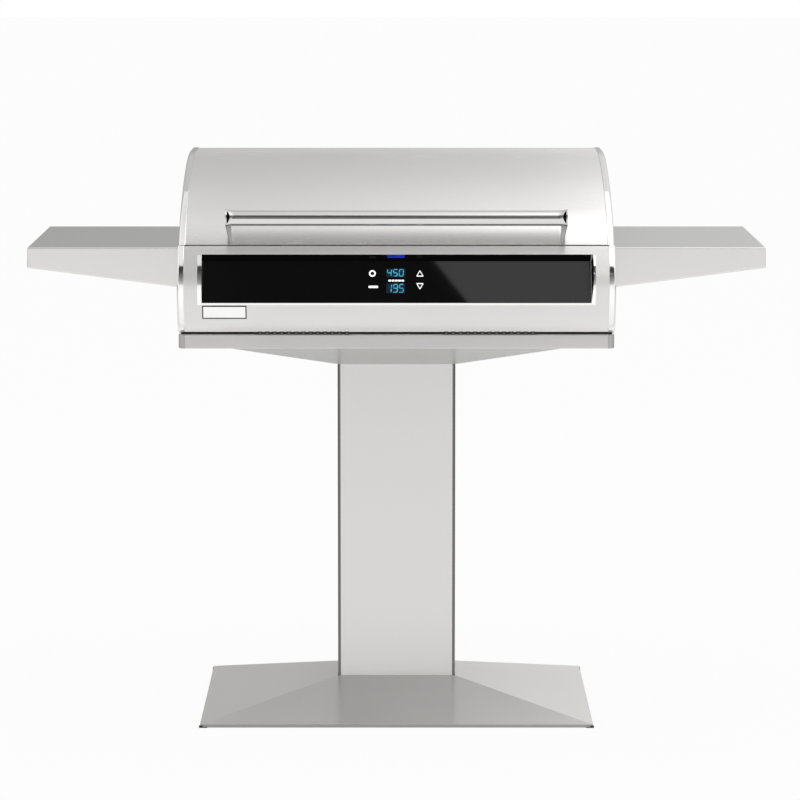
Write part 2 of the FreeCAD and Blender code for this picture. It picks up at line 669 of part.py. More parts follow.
def head_strip_corners():
    """The four corners, in (y, z), of the black strip that overhangs the glass."""
    run_y = HEAD_STRIP_TOP_Y - GLASS_TOP_Y
    run_z = HEAD_STRIP_TOP_Z - GLASS_TOP_Z
    length = math.hypot(run_y, run_z)
    back_y = HEAD_STRIP_THICKNESS * run_z / length
    back_z = -HEAD_STRIP_THICKNESS * run_y / length
    return [
        (GLASS_TOP_Y, GLASS_TOP_Z), (HEAD_STRIP_TOP_Y, HEAD_STRIP_TOP_Z),
        (HEAD_STRIP_TOP_Y + back_y, HEAD_STRIP_TOP_Z + back_z), (GLASS_TOP_Y + back_y, GLASS_TOP_Z + back_z)]


def glass_head_strip():
    return prism_x(head_strip_corners(), -GLASS_HALF_X, GLASS_HALF_X)


def glass_bezel():
    """The polished frame round the control glass, following the curve of the front."""
    frame = body_profile(-BEZEL_PROUD, -BEZEL_HALF_X, BEZEL_HALF_X)
    frame = frame.common(block(-400, 400, -300, BEZEL_BACK_Y, BEZEL_BOTTOM_Z, BEZEL_TOP_Z))
    front_foot, front_top, back_top, back_foot = head_strip_corners()
    opening = prism_x([
        (-300, GLASS_BOTTOM_Z), (-300, HEAD_STRIP_TOP_Z), front_top, back_top, back_foot,
        (BEZEL_BACK_Y + 1, back_foot[1]), (BEZEL_BACK_Y + 1, GLASS_BOTTOM_Z)], -GLASS_HALF_X, GLASS_HALF_X)
    frame = frame.cut(opening).cut(control_glass())
    return frame.cut(block(-400, 400, -258, BEZEL_BACK_Y + 1, BEZEL_BOTTOM_Z - 1, GLASS_BOTTOM_Z))


def glass_retainer():
    """The black frame that clamps the glass from behind."""
    rear = GLASS_THICKNESS
    plate = block(-318, 318, rear, rear + 2, 3, glass_length() - 2)
    return on_glass(plate.cut(block(-300, 300, rear - 1, rear + 3, 8, glass_length() - 10)))


def control_housing():
    """The tub behind the glass, with four stand-offs for the board."""
    rear = GLASS_THICKNESS + 2
    height = glass_length() - 6
    tub = block(-170, 170, rear, rear + 28, 6, height)
    tub = tub.cut(block(-168.8, 168.8, rear - 1, rear + 26.8, 7.2, height - 1.2))
    posts = [rod((x, rear + 7.6, z), (x, rear + 27, z), 3) for x in (-135, 135) for z in (18, 56)]
    return on_glass(joined([tub] + posts))


def display_module():
    return on_glass(block(-60, 60, GLASS_THICKNESS, GLASS_THICKNESS + 6, 18, 60))


def control_board():
    """The board with its chips and sockets."""
    front = GLASS_THICKNESS + 8
    board = block(-150, 150, front, front + 1.6, 12, 62)
    chips = [(-100, 22, 18, 18, 3), (-40, 30, 24, 24, 5), (30, 20, 30, 12, 9), (95, 34, 22, 16, 7)]
    parts = [board]
    for x, z, width, height, depth in chips:
        parts.append(block(x, x + width, front + 1.6, front + 1.6 + depth, z, z + height))
    return on_glass(joined(parts))


def power_module():
    """The switching module with its cooling fins, on the body's floor."""
    floor_z = BODY_BOTTOM_Z + SKIN_INSET + 2 * BODY_SHEET
    parts = [block(80, 230, -212, -184, floor_z, 690)]
    parts += [block(84 + 12 * i, 87 + 12 * i, -212, -184, 690, 700) for i in range(12)]
    return joined(parts)


def supply_terminal():
    floor_z = BODY_BOTTOM_Z + SKIN_INSET + 2 * BODY_SHEET
    return block(325, 346, 120, 180, floor_z, 705)


def wiring_loom():
    """The lead from the supply terminal along the firebox to the power module."""
    x, z, turn_y, bend = SUPPLY_X, SUPPLY_Z, -200.0, 20.0
    start = Vector(x, 120, z)
    before = Vector(x, turn_y + bend, z)
    after = Vector(x - bend, turn_y, z)
    middle = Vector(x - bend, turn_y + bend, z) + Vector(1, -1, 0).normalize() * bend
    end = Vector(230, turn_y, z)
    edges = [Part.LineSegment(start, before), Part.Arc(before, middle, after), Part.LineSegment(after, end)]
    path = Part.Wire([e.toShape() for e in edges])
    ring = Part.Wire(Part.Circle(start, Vector(0, 1, 0), LEAD_R).toShape())
    return path.makePipeShell([ring], True, False)


def cable_gland():
    """The gland for the supply lead, through the rear panel at the right."""
    x, z, bore = SUPPLY_X, SUPPLY_Z, LEAD_R + 1.5
    outer_y = BODY_BACK_Y - SKIN_INSET
    body = hexagon((x, outer_y, z), (0, 1, 0), GLAND_NUT, 8)
    dome = Part.makeCone(10, 7.5, 14, Vector(x, outer_y + 8, z), Vector(0, 1, 0))
    thread = rod((x, outer_y - 7, z), (x, outer_y, z), 8)
    nut = hexagon((x, outer_y - BODY_SHEET, z), (0, -1, 0), GLAND_NUT, 4.5)
    gland = joined([body, dome, thread, nut])
    return gland.cut(rod((x, outer_y - 10, z), (x, outer_y + 30, z), bore))


def nameplate():
    """A bare plate on the lower left of the front, curved to lie on it."""
    x0, x1, z0, z1 = NAMEPLATE
    plate = body_profile(SKIN_INSET - NAMEPLATE_PROUD, x0, x1).cut(body_profile(SKIN_INSET, x0 - 1, x1 + 1))
    return plate.common(block(x0, x1, -300, -200, z0, z1))


def firebox():
    """The open steel box that holds the element and the grids, with a drain in its floor."""
    outside = block(
        -FIREBOX_HALF_X, FIREBOX_HALF_X, FIREBOX_FRONT_Y, FIREBOX_BACK_Y, FIREBOX_FLOOR_Z, FLANGE_TOP_Z)
    lip = block(-CAP_INNER_X, CAP_INNER_X, -222, 208, FLANGE_TOP_Z - SHEET, FLANGE_TOP_Z)
    inner_x = FIREBOX_HALF_X - SHEET
    inside = block(
        -inner_x, inner_x, FIREBOX_FRONT_Y + SHEET, FIREBOX_BACK_Y - SHEET,
        FIREBOX_FLOOR_Z + SHEET, FLANGE_TOP_Z + 1)
    spout_bottom = PAN_TOP_Z - 1
    spout = rod((0, 0, spout_bottom), (0, 0, FIREBOX_FLOOR_Z), DRAIN_R)
    box = joined([outside, lip, spout]).cut(inside)
    box = box.cut(rod((0, 0, spout_bottom - 1), (0, 0, FIREBOX_FLOOR_Z + 5), DRAIN_R - SHEET))
    before, behind = FIREBOX_FRONT_Y - 1, FIREBOX_FRONT_Y + 3
    for x in (-ELEMENT_HALF_X, ELEMENT_HALF_X):
        box = box.cut(rod((x, before, ELEMENT_Z), (x, behind, ELEMENT_Z), ELEMENT_R))
    return box.cut(rod((PROBE_X, before, PROBE_Z), (PROBE_X, behind, PROBE_Z), PROBE_R))


def grid_rails():
    """An angle on the front wall and one on the back wall carry the grids."""
    inner_x = FIREBOX_HALF_X - SHEET
    rails = []
    for wall_y, inward in ((FIREBOX_FRONT_Y + SHEET, 1), (FIREBOX_BACK_Y - SHEET, -1)):
        leg_y = sorted((wall_y, wall_y + inward * SHEET))
        shelf_y = sorted((wall_y, wall_y + inward * 16))
        leg = block(-inner_x, inner_x, leg_y[0], leg_y[1], RAIL_TOP_Z - 15, RAIL_TOP_Z)
        shelf = block(-inner_x, inner_x, shelf_y[0], shelf_y[1], RAIL_TOP_Z - SHEET, RAIL_TOP_Z)
        rails.append(joined([leg, shelf]))
    return rails


def cooking_grid():
    """The right-hand grid: round rods welded across three bars."""
    bar_z = RAIL_TOP_Z + GRID_BAR_R
    rod_z = bar_z + GRID_BAR_R + GRID_ROD_R - 1
    last_x = GRID_FIRST_X + GRID_PITCH * (GRID_ROD_COUNT - 1)
    front_y, back_y = FIREBOX_FRONT_Y + 10, FIREBOX_BACK_Y - 10
    parts = [rod((GRID_FIRST_X - 3, y, bar_z), (last_x + 3, y, bar_z), GRID_BAR_R)
             for y in (front_y, (front_y + back_y) / 2, back_y)]
    for i in range(GRID_ROD_COUNT):
        x = GRID_FIRST_X + GRID_PITCH * i
        parts.append(rod((x, front_y - 5, rod_z), (x, back_y + 5, rod_z), GRID_ROD_R))
    return joined(parts)


def heating_element():
    """One tube, bent to and fro, whose two ends leave through the front wall."""
    pitch = 2 * ELEMENT_HALF_X / (ELEMENT_PASSES - 1)
    parts = []
    for i in range(ELEMENT_PASSES):
        x = -ELEMENT_HALF_X + pitch * i
        at_end = i in (0, ELEMENT_PASSES - 1)
        front_y = FIREBOX_FRONT_Y - ELEMENT_TAIL if at_end else ELEMENT_FRONT_Y
        parts.append(rod((x, front_y, ELEMENT_Z), (x, ELEMENT_BACK_Y, ELEMENT_Z), ELEMENT_R))
        if i < ELEMENT_PASSES - 1:
            turn_y, sign = (ELEMENT_BACK_Y, -1) if i % 2 == 0 else (ELEMENT_FRONT_Y, 1)
            ring = Part.Circle(Vector(x, turn_y, ELEMENT_Z), Vector(0, 1, 0), ELEMENT_R).toShape()
            bend_middle = Vector(x + pitch / 2, turn_y, ELEMENT_Z)
            parts.append(Part.Face(Part.Wire(ring)).revolve(bend_middle, Vector(0, 0, 1), sign * 180))
    return joined(parts)


def element_rack():
    """Three flat bars on edge hold the element at its height."""
    inner_x = FIREBOX_HALF_X - SHEET
    top = ELEMENT_Z - ELEMENT_R
    return [block(-inner_x, inner_x, y - 1, y + 1, top - 14, top) for y in (-110, 0, 110)]


def element_terminals():
    """A ceramic block over each cold end of the element."""
    half_x, half_z = TERMINAL_HALF
    front, rear = FIREBOX_FRONT_Y - TERMINAL_DEPTH, FIREBOX_FRONT_Y
    solids = []
    for x in (-ELEMENT_HALF_X, ELEMENT_HALF_X):
        body = block(x - half_x, x + half_x, front, rear, ELEMENT_Z - half_z, ELEMENT_Z + half_z)
        solids.append(body.cut(rod((x, front - 1, ELEMENT_Z), (x, rear + 1, ELEMENT_Z), ELEMENT_R)))
    return solids


def heat_reflector():
    """The dished sheet under the element that sends heat up and grease to the drain."""
    inner_x = FIREBOX_HALF_X - SHEET
    low_z, high_z = 694.0, 710.0
    upper = [(-inner_x, high_z), (0, low_z), (inner_x, high_z)]
    lower = [(x, z - BODY_SHEET) for x, z in reversed(upper)]
    sheet = prism_y(upper + lower, FIREBOX_FRONT_Y + 12, FIREBOX_BACK_Y - 12)
    return sheet.cut(rod((0, 0, 680), (0, 0, 720), 13))


def temperature_probe():
    """A thin stem through the firebox's front wall, with a collar on the outside."""
    x, z = PROBE_X, PROBE_Z
    stem = rod((x, FIREBOX_FRONT_Y - 14, z), (x, FIREBOX_FRONT_Y + 90, z), PROBE_R)
    collar = rod((x, FIREBOX_FRONT_Y - 3, z), (x, FIREBOX_FRONT_Y, z), 6)
    return joined([stem, collar])


def tilted(shape):
    """Lean a right-hand piece of the hood inwards by the draft of its ends."""
    shape.rotate(Vector(HOOD_CAP_OUTER_X, 0, HOOD_BOTTOM_Z), Vector(0, 1, 0), -HOOD_DRAFT)
    return shape


def above_hood_foot(shape):
    return shape.common(block(-400, 400, -300, 300, HOOD_BOTTOM_Z, 1000))


def hood_end_cap():
    """The right end of the hood: a polished rim with a flat side, leaning in a little."""
    cap = hood_profile(0, HOOD_CAP_INNER_X, HOOD_CAP_OUTER_X)
    cap = cap.makeFillet(CAP_EDGE_R, edges_at_x(cap, HOOD_CAP_OUTER_X, HOOD_BOTTOM_Z + 1))
    pocket = hood_profile(CAP_WALL, HOOD_CAP_INNER_X - 1, HOOD_CAP_OUTER_X - CAP_WALL)
    return above_hood_foot(tilted(cap.cut(pocket)))


def hood_ends():
    """What lies outside the inner faces of the two hood ends."""
    beyond = tilted(block(HOOD_CAP_INNER_X, 420, -320, 320, 700, 1100))
    return joined(both_sides(beyond))


def hood_wrap(outer_inset, inner_inset):
    reach = HOOD_CAP_OUTER_X
    sheet = hood_profile(outer_inset, -reach, reach).cut(hood_profile(inner_inset, -reach - 1, reach + 1))
    return sheet.cut(hood_ends())


def hood_skin():
    """The brushed skin over the front and top, with a turned-in foot and a rear lap."""
    rear_lap_z = 880.0
    sheet = hood_wrap(SKIN_INSET, SKIN_INSET + HOOD_SHEET)
    sheet = sheet.cut(block(-400, 400, 150, 300, 0, rear_lap_z))
    foot = hood_profile(SKIN_INSET + 0.5, -HOOD_CAP_OUTER_X, HOOD_CAP_OUTER_X).common(
        block(-400, 400, -300, -218, HOOD_BOTTOM_Z, HOOD_BOTTOM_Z + HOOD_SHEET)).cut(hood_ends())
    skin = joined([sheet, foot])
    for x in leg_middles():
        for start, end in leg_screw_axes(x):
            skin = skin.cut(rod(start, end, LEG_SCREW_R))
    return skin


def hood_back():
    """The flat back of the hood, lapped inside the skin."""
    sheet = hood_wrap(SKIN_INSET + HOOD_SHEET, SKIN_INSET + 2 * HOOD_SHEET)
    return sheet.common(block(-400, 400, 195, 300, HOOD_BOTTOM_Z, 895))


def hood_bumpers():
    """Two rubber pads on the body that the hood comes down on."""
    seat = BODY_TOP_Z - SKIN_INSET
    pad = rounded_block(190, 210, -238, -222, seat, HOOD_BOTTOM_Z - 0.3, 3)
    return both_sides(pad)


def leg_middles():
    middle = sum(LEG_FOOT_X) / 2
    return (-middle, middle)


def leg_foot():
    """Where a handle leg meets the hood's skin, in (y, z), and the skin's tilt there."""
    centre = hood_centres()[0]
    radius = HOOD_FRONT_R - SKIN_INSET
    tilt = math.degrees(math.asin((LEG_FOOT_Z - centre[1]) / radius))
    point = on_circle(centre, radius, tilt)
    return point.y, point.z, tilt


def leg_screw_axes(x):
    """The two screws of a leg, square to the skin: start outside it, end inside."""
    centre = hood_centres()[0]
    tilt = leg_foot()[2]
    axes = []
    for offset in (-0.8, 3.6):
        outer = on_circle(centre, HOOD_FRONT_R + 3, tilt + offset)
        inner = on_circle(centre, HOOD_FRONT_R - 12, tilt + offset)
        axes.append(((x, outer.y, outer.z), (x, inner.y, inner.z)))
    return axes


def handle_bar():
    """The round tube between the two legs."""
    ends = ((-TRUMPET_START_X, HANDLE_Y, HANDLE_Z), (TRUMPET_START_X, HANDLE_Y, HANDLE_Z))
    return rod(*ends, HANDLE_R).cut(rod(*ends, HANDLE_R - HANDLE_WALL))


def handle_leg():
    """The right-hand cast leg: a trumpet end for the bar, a tapering arm and a curved foot."""
    foot_y, foot_z, tilt = leg_foot()
    along = Vector(0, foot_y - HANDLE_Y, foot_z - HANDLE_Z).normalize()
    across = Vector(0, -along.z, along.y)
    wires = []
    sections = (
        (Vector(0, HANDLE_Y, HANDLE_Z), 11.0, LEG_INNER_X, HANDLE_END_X - 0.8),
        (Vector(0, foot_y, foot_z) + along * 4, 9.0, LEG_FOOT_X[0], LEG_FOOT_X[1]))
    for middle, half, x0, x1 in sections:
        near, far = middle - across * half, middle + across * half
        corners = [(x0, near), (x1, near), (x1, far), (x0, far)]
        wires.append(Part.makePolygon([Vector(x, p.y, p.z) for x, p in corners + corners[:1]]))
    arm = Part.makeLoft(wires, True, True)
    arm = arm.cut(rod((250, HANDLE_Y, HANDLE_Z), (TRUMPET_START_X, HANDLE_Y, HANDLE_Z), HANDLE_R))
    rise = TRUMPET_R - HANDLE_R
    run = HANDLE_END_X - TRUMPET_START_X
    flare_r = (rise ** 2 + run ** 2) / (2 * rise)
    half_turn = math.asin(run / flare_r) / 2
    start = Vector(TRUMPET_START_X, 0, HANDLE_R)
    middle = Vector(
        TRUMPET_START_X + flare_r * math.sin(half_turn), 0, HANDLE_R + flare_r * (1 - math.cos(half_turn)))
    end = Vector(HANDLE_END_X, 0, TRUMPET_R)
    outline = [
        Part.Arc(start, middle, end).toShape(),
        Part.LineSegment(end, Vector(HANDLE_END_X, 0, 0)).toShape(),
        Part.LineSegment(Vector(HANDLE_END_X, 0, 0), Vector(TRUMPET_START_X, 0, 0)).toShape(),
        Part.LineSegment(Vector(TRUMPET_START_X, 0, 0), start).toShape()]
    trumpet = Part.Face(Part.Wire(outline)).revolve(Vector(0, 0, 0), Vector(1, 0, 0), 360)
    trumpet.translate(Vector(0, HANDLE_Y, HANDLE_Z))
    spigot = rod(
        (TRUMPET_START_X - 14, HANDLE_Y, HANDLE_Z), (TRUMPET_START_X + 1, HANDLE_Y, HANDLE_Z),
        HANDLE_R - HANDLE_WALL)
    pad = hood_profile(-2.0, *LEG_FOOT_X).cut(hood_profile(SKIN_INSET, 200, 300))
    pad = pad.common(block(200, 300, -300, -200, LEG_FOOT_Z - 9, LEG_FOOT_Z + 11))
    leg = joined([arm.cut(hood_profile(SKIN_INSET, 200, 300)), trumpet, spigot, pad])
    for begin, finish in leg_screw_axes(leg_middles()[1]):
        leg = leg.cut(rod(begin, finish, LEG_SCREW_R))
    return leg


def handle_screws():
    """Two screws hold each leg from inside the hood."""
    solids = []
    for x in leg_middles():
        for outer, inner in leg_screw_axes(x):
            inward = (Vector(*inner) - Vector(*outer)).normalize()
            seat = Vector(*inner) - inward * (12 - SKIN_INSET - HOOD_SHEET - 0.1)
            solids.append(screw(tuple(seat), tuple(inward * -1), LEG_SCREW_R, SKIN_INSET + HOOD_SHEET + 2.5))
    return solids


def knuckle(x0, x1, bore):
    """One barrel of a hinge, with its bore."""
    barrel = rod((x0, HINGE_Y, HINGE_Z), (x1, HINGE_Y, HINGE_Z), KNUCKLE_R)
    return barrel, rod((x0 - 1, HINGE_Y, HINGE_Z), (x1 + 1, HINGE_Y, HINGE_Z), bore)


def hinge_body_leaves():
    """The fixed halves: a leaf on the rear panel with two outer barrels."""
    outer_y = BODY_BACK_Y - SKIN_INSET
    x0, x1 = HINGE_X - LEAF_HALF_X, HINGE_X + LEAF_HALF_X
    leaf = block(x0, x1, outer_y, outer_y + 2, BODY_LEAF_BOTTOM_Z, BODY_TOP_Z - 0.5)
    for x in (HINGE_X - BARREL_X, HINGE_X + BARREL_X):
        barrel, bore = knuckle(x - BARREL_HALF, x + BARREL_HALF, PIN_R)
        web = block(x - BARREL_HALF, x + BARREL_HALF, outer_y + 1, HINGE_Y, HINGE_Z - 12, HINGE_Z)
        leaf = joined([leaf, barrel, web]).cut(bore)
    return both_sides(leaf)


def hinge_hood_leaves():
    """The moving halves: a leaf on the hood's back with one middle barrel."""
    outer_y = HOOD_BACK_Y - SKIN_INSET - HOOD_SHEET
    x0, x1 = HINGE_X - MIDDLE_BARREL_HALF, HINGE_X + MIDDLE_BARREL_HALF
    leaf = block(HINGE_X - LEAF_HALF_X, HINGE_X + LEAF_HALF_X, outer_y, outer_y + 2.5, *HOOD_LEAF_Z)
    barrel, bore = knuckle(x0, x1, PIN_R + PIN_CLEARANCE)
    web = block(x0, x1, outer_y + 2, HINGE_Y, HINGE_Z, HINGE_Z + 8)
    return both_sides(joined([leaf, barrel, web]).cut(bore))


def hinge_pins():
    pin = rod((HINGE_X - 21, HINGE_Y, HINGE_Z), (HINGE_X + 21, HINGE_Y, HINGE_Z), PIN_R)
    head = rod((HINGE_X + 20, HINGE_Y, HINGE_Z), (HINGE_X + 22.5, HINGE_Y, HINGE_Z), PIN_R + 1.5)
    return both_sides(joined([pin, head]))


def hinge_screw_places(z):
    return [(HINGE_X + dx, z) for dx in (-LEAF_SCREW_X, LEAF_SCREW_X)]


def hinge_screws():
    """Low screws hold each leaf on the rear panel."""
    solids = []
    outer_y = BODY_BACK_Y - SKIN_INSET + 2
    for x, z in hinge_screw_places(779):
        solids += both_sides(rod((x, outer_y, z), (x, outer_y + LEAF_SCREW_HEAD, z), LEAF_SCREW_R))
    return solids


def hood_hinge_screws():
    """Low screws hold each leaf on the hood's back."""
    solids = []
    outer_y = HOOD_BACK_Y - SKIN_INSET - HOOD_SHEET + 2.5
    for x, z in hinge_screw_places(HINGE_Z + 23):
        solids += both_sides(rod((x, outer_y, z), (x, outer_y + LEAF_SCREW_HEAD, z), LEAF_SCREW_R))
    return solids


def side_shelf():
    """The right-hand shelf: one folded sheet whose sides deepen towards the body."""
    x0, x1 = CAP_OUTER_X, SHELF_OUTER_X
    outline = [(x0, SHELF_TOP_Z), (x1, SHELF_TOP_Z), (x1, SHELF_OUTER_BOTTOM_Z), (x0, SHELF_INNER_BOTTOM_Z)]
    outside = prism_y(outline, -SHELF_HALF_Y, SHELF_HALF_Y)
    rounded = []
    for edge in outside.Edges:
        box = edge.BoundBox
        on_top = box.ZMin > SHELF_TOP_Z - 0.01 and box.XMax > x0 + 1
        upright = box.XMin > x1 - 0.01 and box.ZMax - box.ZMin > 20
        if on_top or upright:
            rounded.append(edge)
    outside = outside.makeFillet(2.5, rounded)
    floor_z0 = SHELF_INNER_BOTTOM_Z + SHEET
    floor_z1 = SHELF_OUTER_BOTTOM_Z + SHEET
    inside = prism_y([
        (x0 + SHEET, SHELF_TOP_Z - SHEET), (x1 - SHEET, SHELF_TOP_Z - SHEET), (x1 - SHEET, floor_z1),
        (x0 + SHEET, floor_z0)], -SHELF_HALF_Y + SHEET, SHELF_HALF_Y - SHEET)
    mouth_y = SHELF_HALF_Y - SHELF_HEM
    mouth = block(x0 + SHELF_HEM, x1 - SHELF_HEM, -mouth_y, mouth_y, 700, SHELF_OUTER_BOTTOM_Z + 5)
    shelf = outside.cut(inside).cut(mouth)
    for y in (-SHELF_BOLT_Y, SHELF_BOLT_Y):
        for z in SHELF_BOLT_Z:
            shelf = shelf.cut(rod((x0 - 1, y, z), (x0 + 5, y, z), 3))
    return shelf


def shelf_stiffeners():
    """A hat channel under the top of each shelf."""
    x0, x1 = CAP_OUTER_X + SHEET, SHELF_OUTER_X - SHEET
    top = SHELF_TOP_Z - SHEET
    channel = block(x0, x1, -24, 24, top - 16, top)
    channel = channel.cut(block(x0 - 1, x1 + 1, -24 + SHEET, 24 - SHEET, top - 16 + SHEET, top + 1))
    feet = [block(x0, x1, y0, y1, top - SHEET, top) for y0, y1 in ((-38, -24), (24, 38))]
    return both_sides(joined([channel] + feet))


def shelf_bolts():
    """Four bolts and nuts fasten each shelf to its end cap."""
    solids = []
    seat = CAP_OUTER_X + SHEET
    nut_x = CAP_OUTER_X - CAP_WALL
    for y in (-SHELF_BOLT_Y, SHELF_BOLT_Y):
        for z in SHELF_BOLT_Z:
            nut = hexagon((nut_x, y, z), (-1, 0, 0), 5.5, 4)
            solids += both_sides(bolt((seat, y, z), (-1, 0, 0), 3, seat - nut_x + 5))
            solids += both_sides(nut.cut(rod((nut_x - 5, y, z), (nut_x + 1, y, z), 3)))
    return solids


NODES = {
    "base_cover": base_cover,
    "floor_plate": floor_plate,
    "corner_glides": corner_glides,
    "post_tube": post_tube,
    "post_foot_flange": post_foot_flange,
    "foot_bolts": foot_bolts,
    "post_head_flange": post_head_flange,
    "head_bolts": head_bolts,
    "cradle_pyramid": cradle_pyramid,
    "cradle_pan": cradle_pan,
    "tray_rails": tray_rails,
    "grease_tray": grease_tray,
    "body_gasket": body_gasket,
    "body_bolts": body_bolts,
    "body_end_cap_right": body_end_cap,
    "fascia": fascia,
    "vent_louvres": vent_louvres,
    "rear_panel": rear_panel,
    "rear_screws": rear_screws,
    "floor_panel": floor_panel,
    "control_glass": control_glass,
    "glass_head_strip": glass_head_strip,
    "glass_bezel": glass_bezel,
    "glass_retainer": glass_retainer,
    "control_housing": control_housing,
    "display_module": display_module,
    "control_board": control_board,
    "power_module": power_module,
    "supply_terminal": supply_terminal,
    "wiring_loom": wiring_loom,
    "cable_gland": cable_gland,
    "nameplate": nameplate,
    "firebox": firebox,
    "grid_rails": grid_rails,
    "cooking_grid_right": cooking_grid,
    "heating_element": heating_element,
    "element_rack": element_rack,
    "element_terminals": element_terminals,
    "heat_reflector": heat_reflector,
    "temperature_probe": temperature_probe,
    "hood_skin": hood_skin,
    "hood_back": hood_back,
    "hood_end_cap_right": hood_end_cap,
    "hood_bumpers": hood_bumpers,
    "handle_bar": handle_bar,
    "handle_leg_right": handle_leg,
    "handle_screws": handle_screws,
    "hinge_body_leaves": hinge_body_leaves,
    "hinge_hood_leaves": hinge_hood_leaves,
    "hinge_pins": hinge_pins,
    "hinge_screws": hinge_screws,
    "hood_hinge_screws": hood_hinge_screws,
    "side_shelf_right": side_shelf,
    "shelf_stiffeners": shelf_stiffeners,
    "shelf_bolts": shelf_bolts,
}


os.makedirs("parts", exist_ok=True)
for node, make in NODES.items():
    made = make()
    save(node, made)
    if node.endswith("_right"):
        save(node.replace("_right", "_left"), mirrored(made))
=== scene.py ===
from contextlib import contextmanager
from math import asin, copysign, cos, degrees, hypot, pi, radians, sin, sqrt, tan

import bmesh
import bpy
from mathutils import Matrix, Vector


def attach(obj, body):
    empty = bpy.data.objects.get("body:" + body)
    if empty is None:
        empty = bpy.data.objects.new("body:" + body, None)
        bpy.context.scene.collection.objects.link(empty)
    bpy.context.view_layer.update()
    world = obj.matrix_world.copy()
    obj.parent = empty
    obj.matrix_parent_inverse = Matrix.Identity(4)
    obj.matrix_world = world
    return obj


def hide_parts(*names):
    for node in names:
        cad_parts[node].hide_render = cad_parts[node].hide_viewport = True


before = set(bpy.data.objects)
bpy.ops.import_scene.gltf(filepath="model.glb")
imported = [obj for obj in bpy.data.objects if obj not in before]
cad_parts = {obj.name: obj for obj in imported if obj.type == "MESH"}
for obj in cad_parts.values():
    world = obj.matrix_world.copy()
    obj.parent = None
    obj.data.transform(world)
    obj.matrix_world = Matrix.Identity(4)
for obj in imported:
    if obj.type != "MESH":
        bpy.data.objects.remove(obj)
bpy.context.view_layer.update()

# Pedestal, in metres. The origin is on the floor under the post, and the front faces -Y.
SHEET, FOLD_R = 0.0015, 0.0008
BASE_HALF_X, BASE_HALF_Y = 0.3275, 0.253
SKIRT_BOTTOM_Z, SKIRT_TOP_Z, COVER_TOP_Z = 0.0004, 0.0055, 0.052
POST_HALF_X, POST_HALF_Y, POST_CORNER_R, POST_WALL = 0.100, 0.065, 0.005, 0.002
POST_BOTTOM_Z, POST_TOP_Z = 0.006, 0.6275
POST_HOLE = (POST_HALF_X + 0.0004, POST_HALF_Y + 0.0004)
CRADLE_BOTTOM_Z, CRADLE_HALF_X, CRADLE_HALF_Y, CRADLE_HEM = 0.588, 0.292, 0.210, 0.022
PAN_BOTTOM_Z, PAN_TOP_Z = 0.6335, 0.6568
PAN_HALF_X, PAN_FRONT_Y, PAN_BACK_Y = 0.360, -0.235, 0.218
PAN_CORNER_R, PAN_FLANGE = 0.011, 0.030
TRAY_SLOT_HALF_X, TRAY_SLOT_BOTTOM_Z, TRAY_SLOT_TOP_Z = 0.114, PAN_BOTTOM_Z + 2 * SHEET, PAN_TOP_Z - 0.002

# Body
BODY_BOTTOM_Z, BODY_TOP_Z, BODY_BACK_Y, BODY_BACK_R = 0.660, 0.805, 0.213, 0.010
BODY_SEAM_Y = -0.2436
CAP_INNER_X, CAP_OUTER_X, CAP_WALL, CAP_EDGE_R, CAP_LIP_R = 0.349, 0.360, 0.0025, 0.004, 0.0004
SKIN_INSET, BODY_SHEET = 0.001, 0.0012
# Tilt of the front's outward normal above -Y where its tangent arcs meet, in degrees
FRONT_TILTS = (33.65, 25.0, -9.0, -22.0, -90.0)
FRONT_RADII = (0.320, 0.050, 0.2566)
FLANGE_BACK_Y = -0.200

# Control panel
GLASS_HALF_X, GLASS_THICKNESS = 0.3195, 0.004
GLASS_BOTTOM_Y, GLASS_BOTTOM_Z = -0.2675, 0.7125
GLASS_TOP_Y, GLASS_TOP_Z = -0.2395, 0.779
HEAD_STRIP_TOP_Y, HEAD_STRIP_TOP_Z, HEAD_STRIP_THICKNESS = -0.2496, 0.7911, 0.003
BEZEL_HALF_X, BEZEL_BOTTOM_Z, BEZEL_TOP_Z, BEZEL_PROUD = 0.3265, 0.709, 0.7945, 0.0008
BEZEL_BACK_Y, BEZEL_SILL_BACK_Y, BEZEL_CUT_Y = -0.232, -0.258, -0.300
# How far the inner side of the right stile leans outwards for each metre in front of the glass
STILE_LEAN = 0.19
PLATE_X, PLATE_Z, PLATE_PROUD, PLATE_BORDER = (-0.319, -0.246), (0.6855, 0.7078), 0.0006, 0.0019
VENT_COUNT, VENT_FIRST_X, VENT_LAST_X = 13, 0.082, 0.225
VENT_PITCH = (VENT_LAST_X - VENT_FIRST_X) / (VENT_COUNT - 1)
VENT_HALF_X, VENT_FRONT_Y, VENT_BACK_Y = 0.0034, -0.238, -0.217
FIN_HALF_X, FIN_FRONT_Y, FIN_BACK_Y, FIN_FOOT_Z, FIN_TOP_Z = 0.0026, -0.2325, -0.229, 0.6572, 0.6608
FIN_STRIP_Y, FIN_STRIP_Z, FIN_STRIP_OVERHANG, FIN_STRIP_SECTION = -0.22825, 0.6585, 0.008, (0.005, 0.0035)
FIN_CORNER_R = 0.0004

# Cooking chamber
GRID_FIRST_X, GRID_PITCH, GRID_ROD_COUNT = 0.009, 0.014, 22
GRID_FRONT_Y, GRID_BACK_Y, GRID_BAR_Z, GRID_BAR_R, GRID_ROD_R = -0.168, 0.180, 0.7835, 0.004, 0.003
ELEMENT_Z, ELEMENT_R, ELEMENT_PASSES, ELEMENT_HALF_X = 0.735, 0.004, 16, 0.280
ELEMENT_FRONT_Y, ELEMENT_BACK_Y, ELEMENT_END_Y = -0.135, 0.140, -0.190

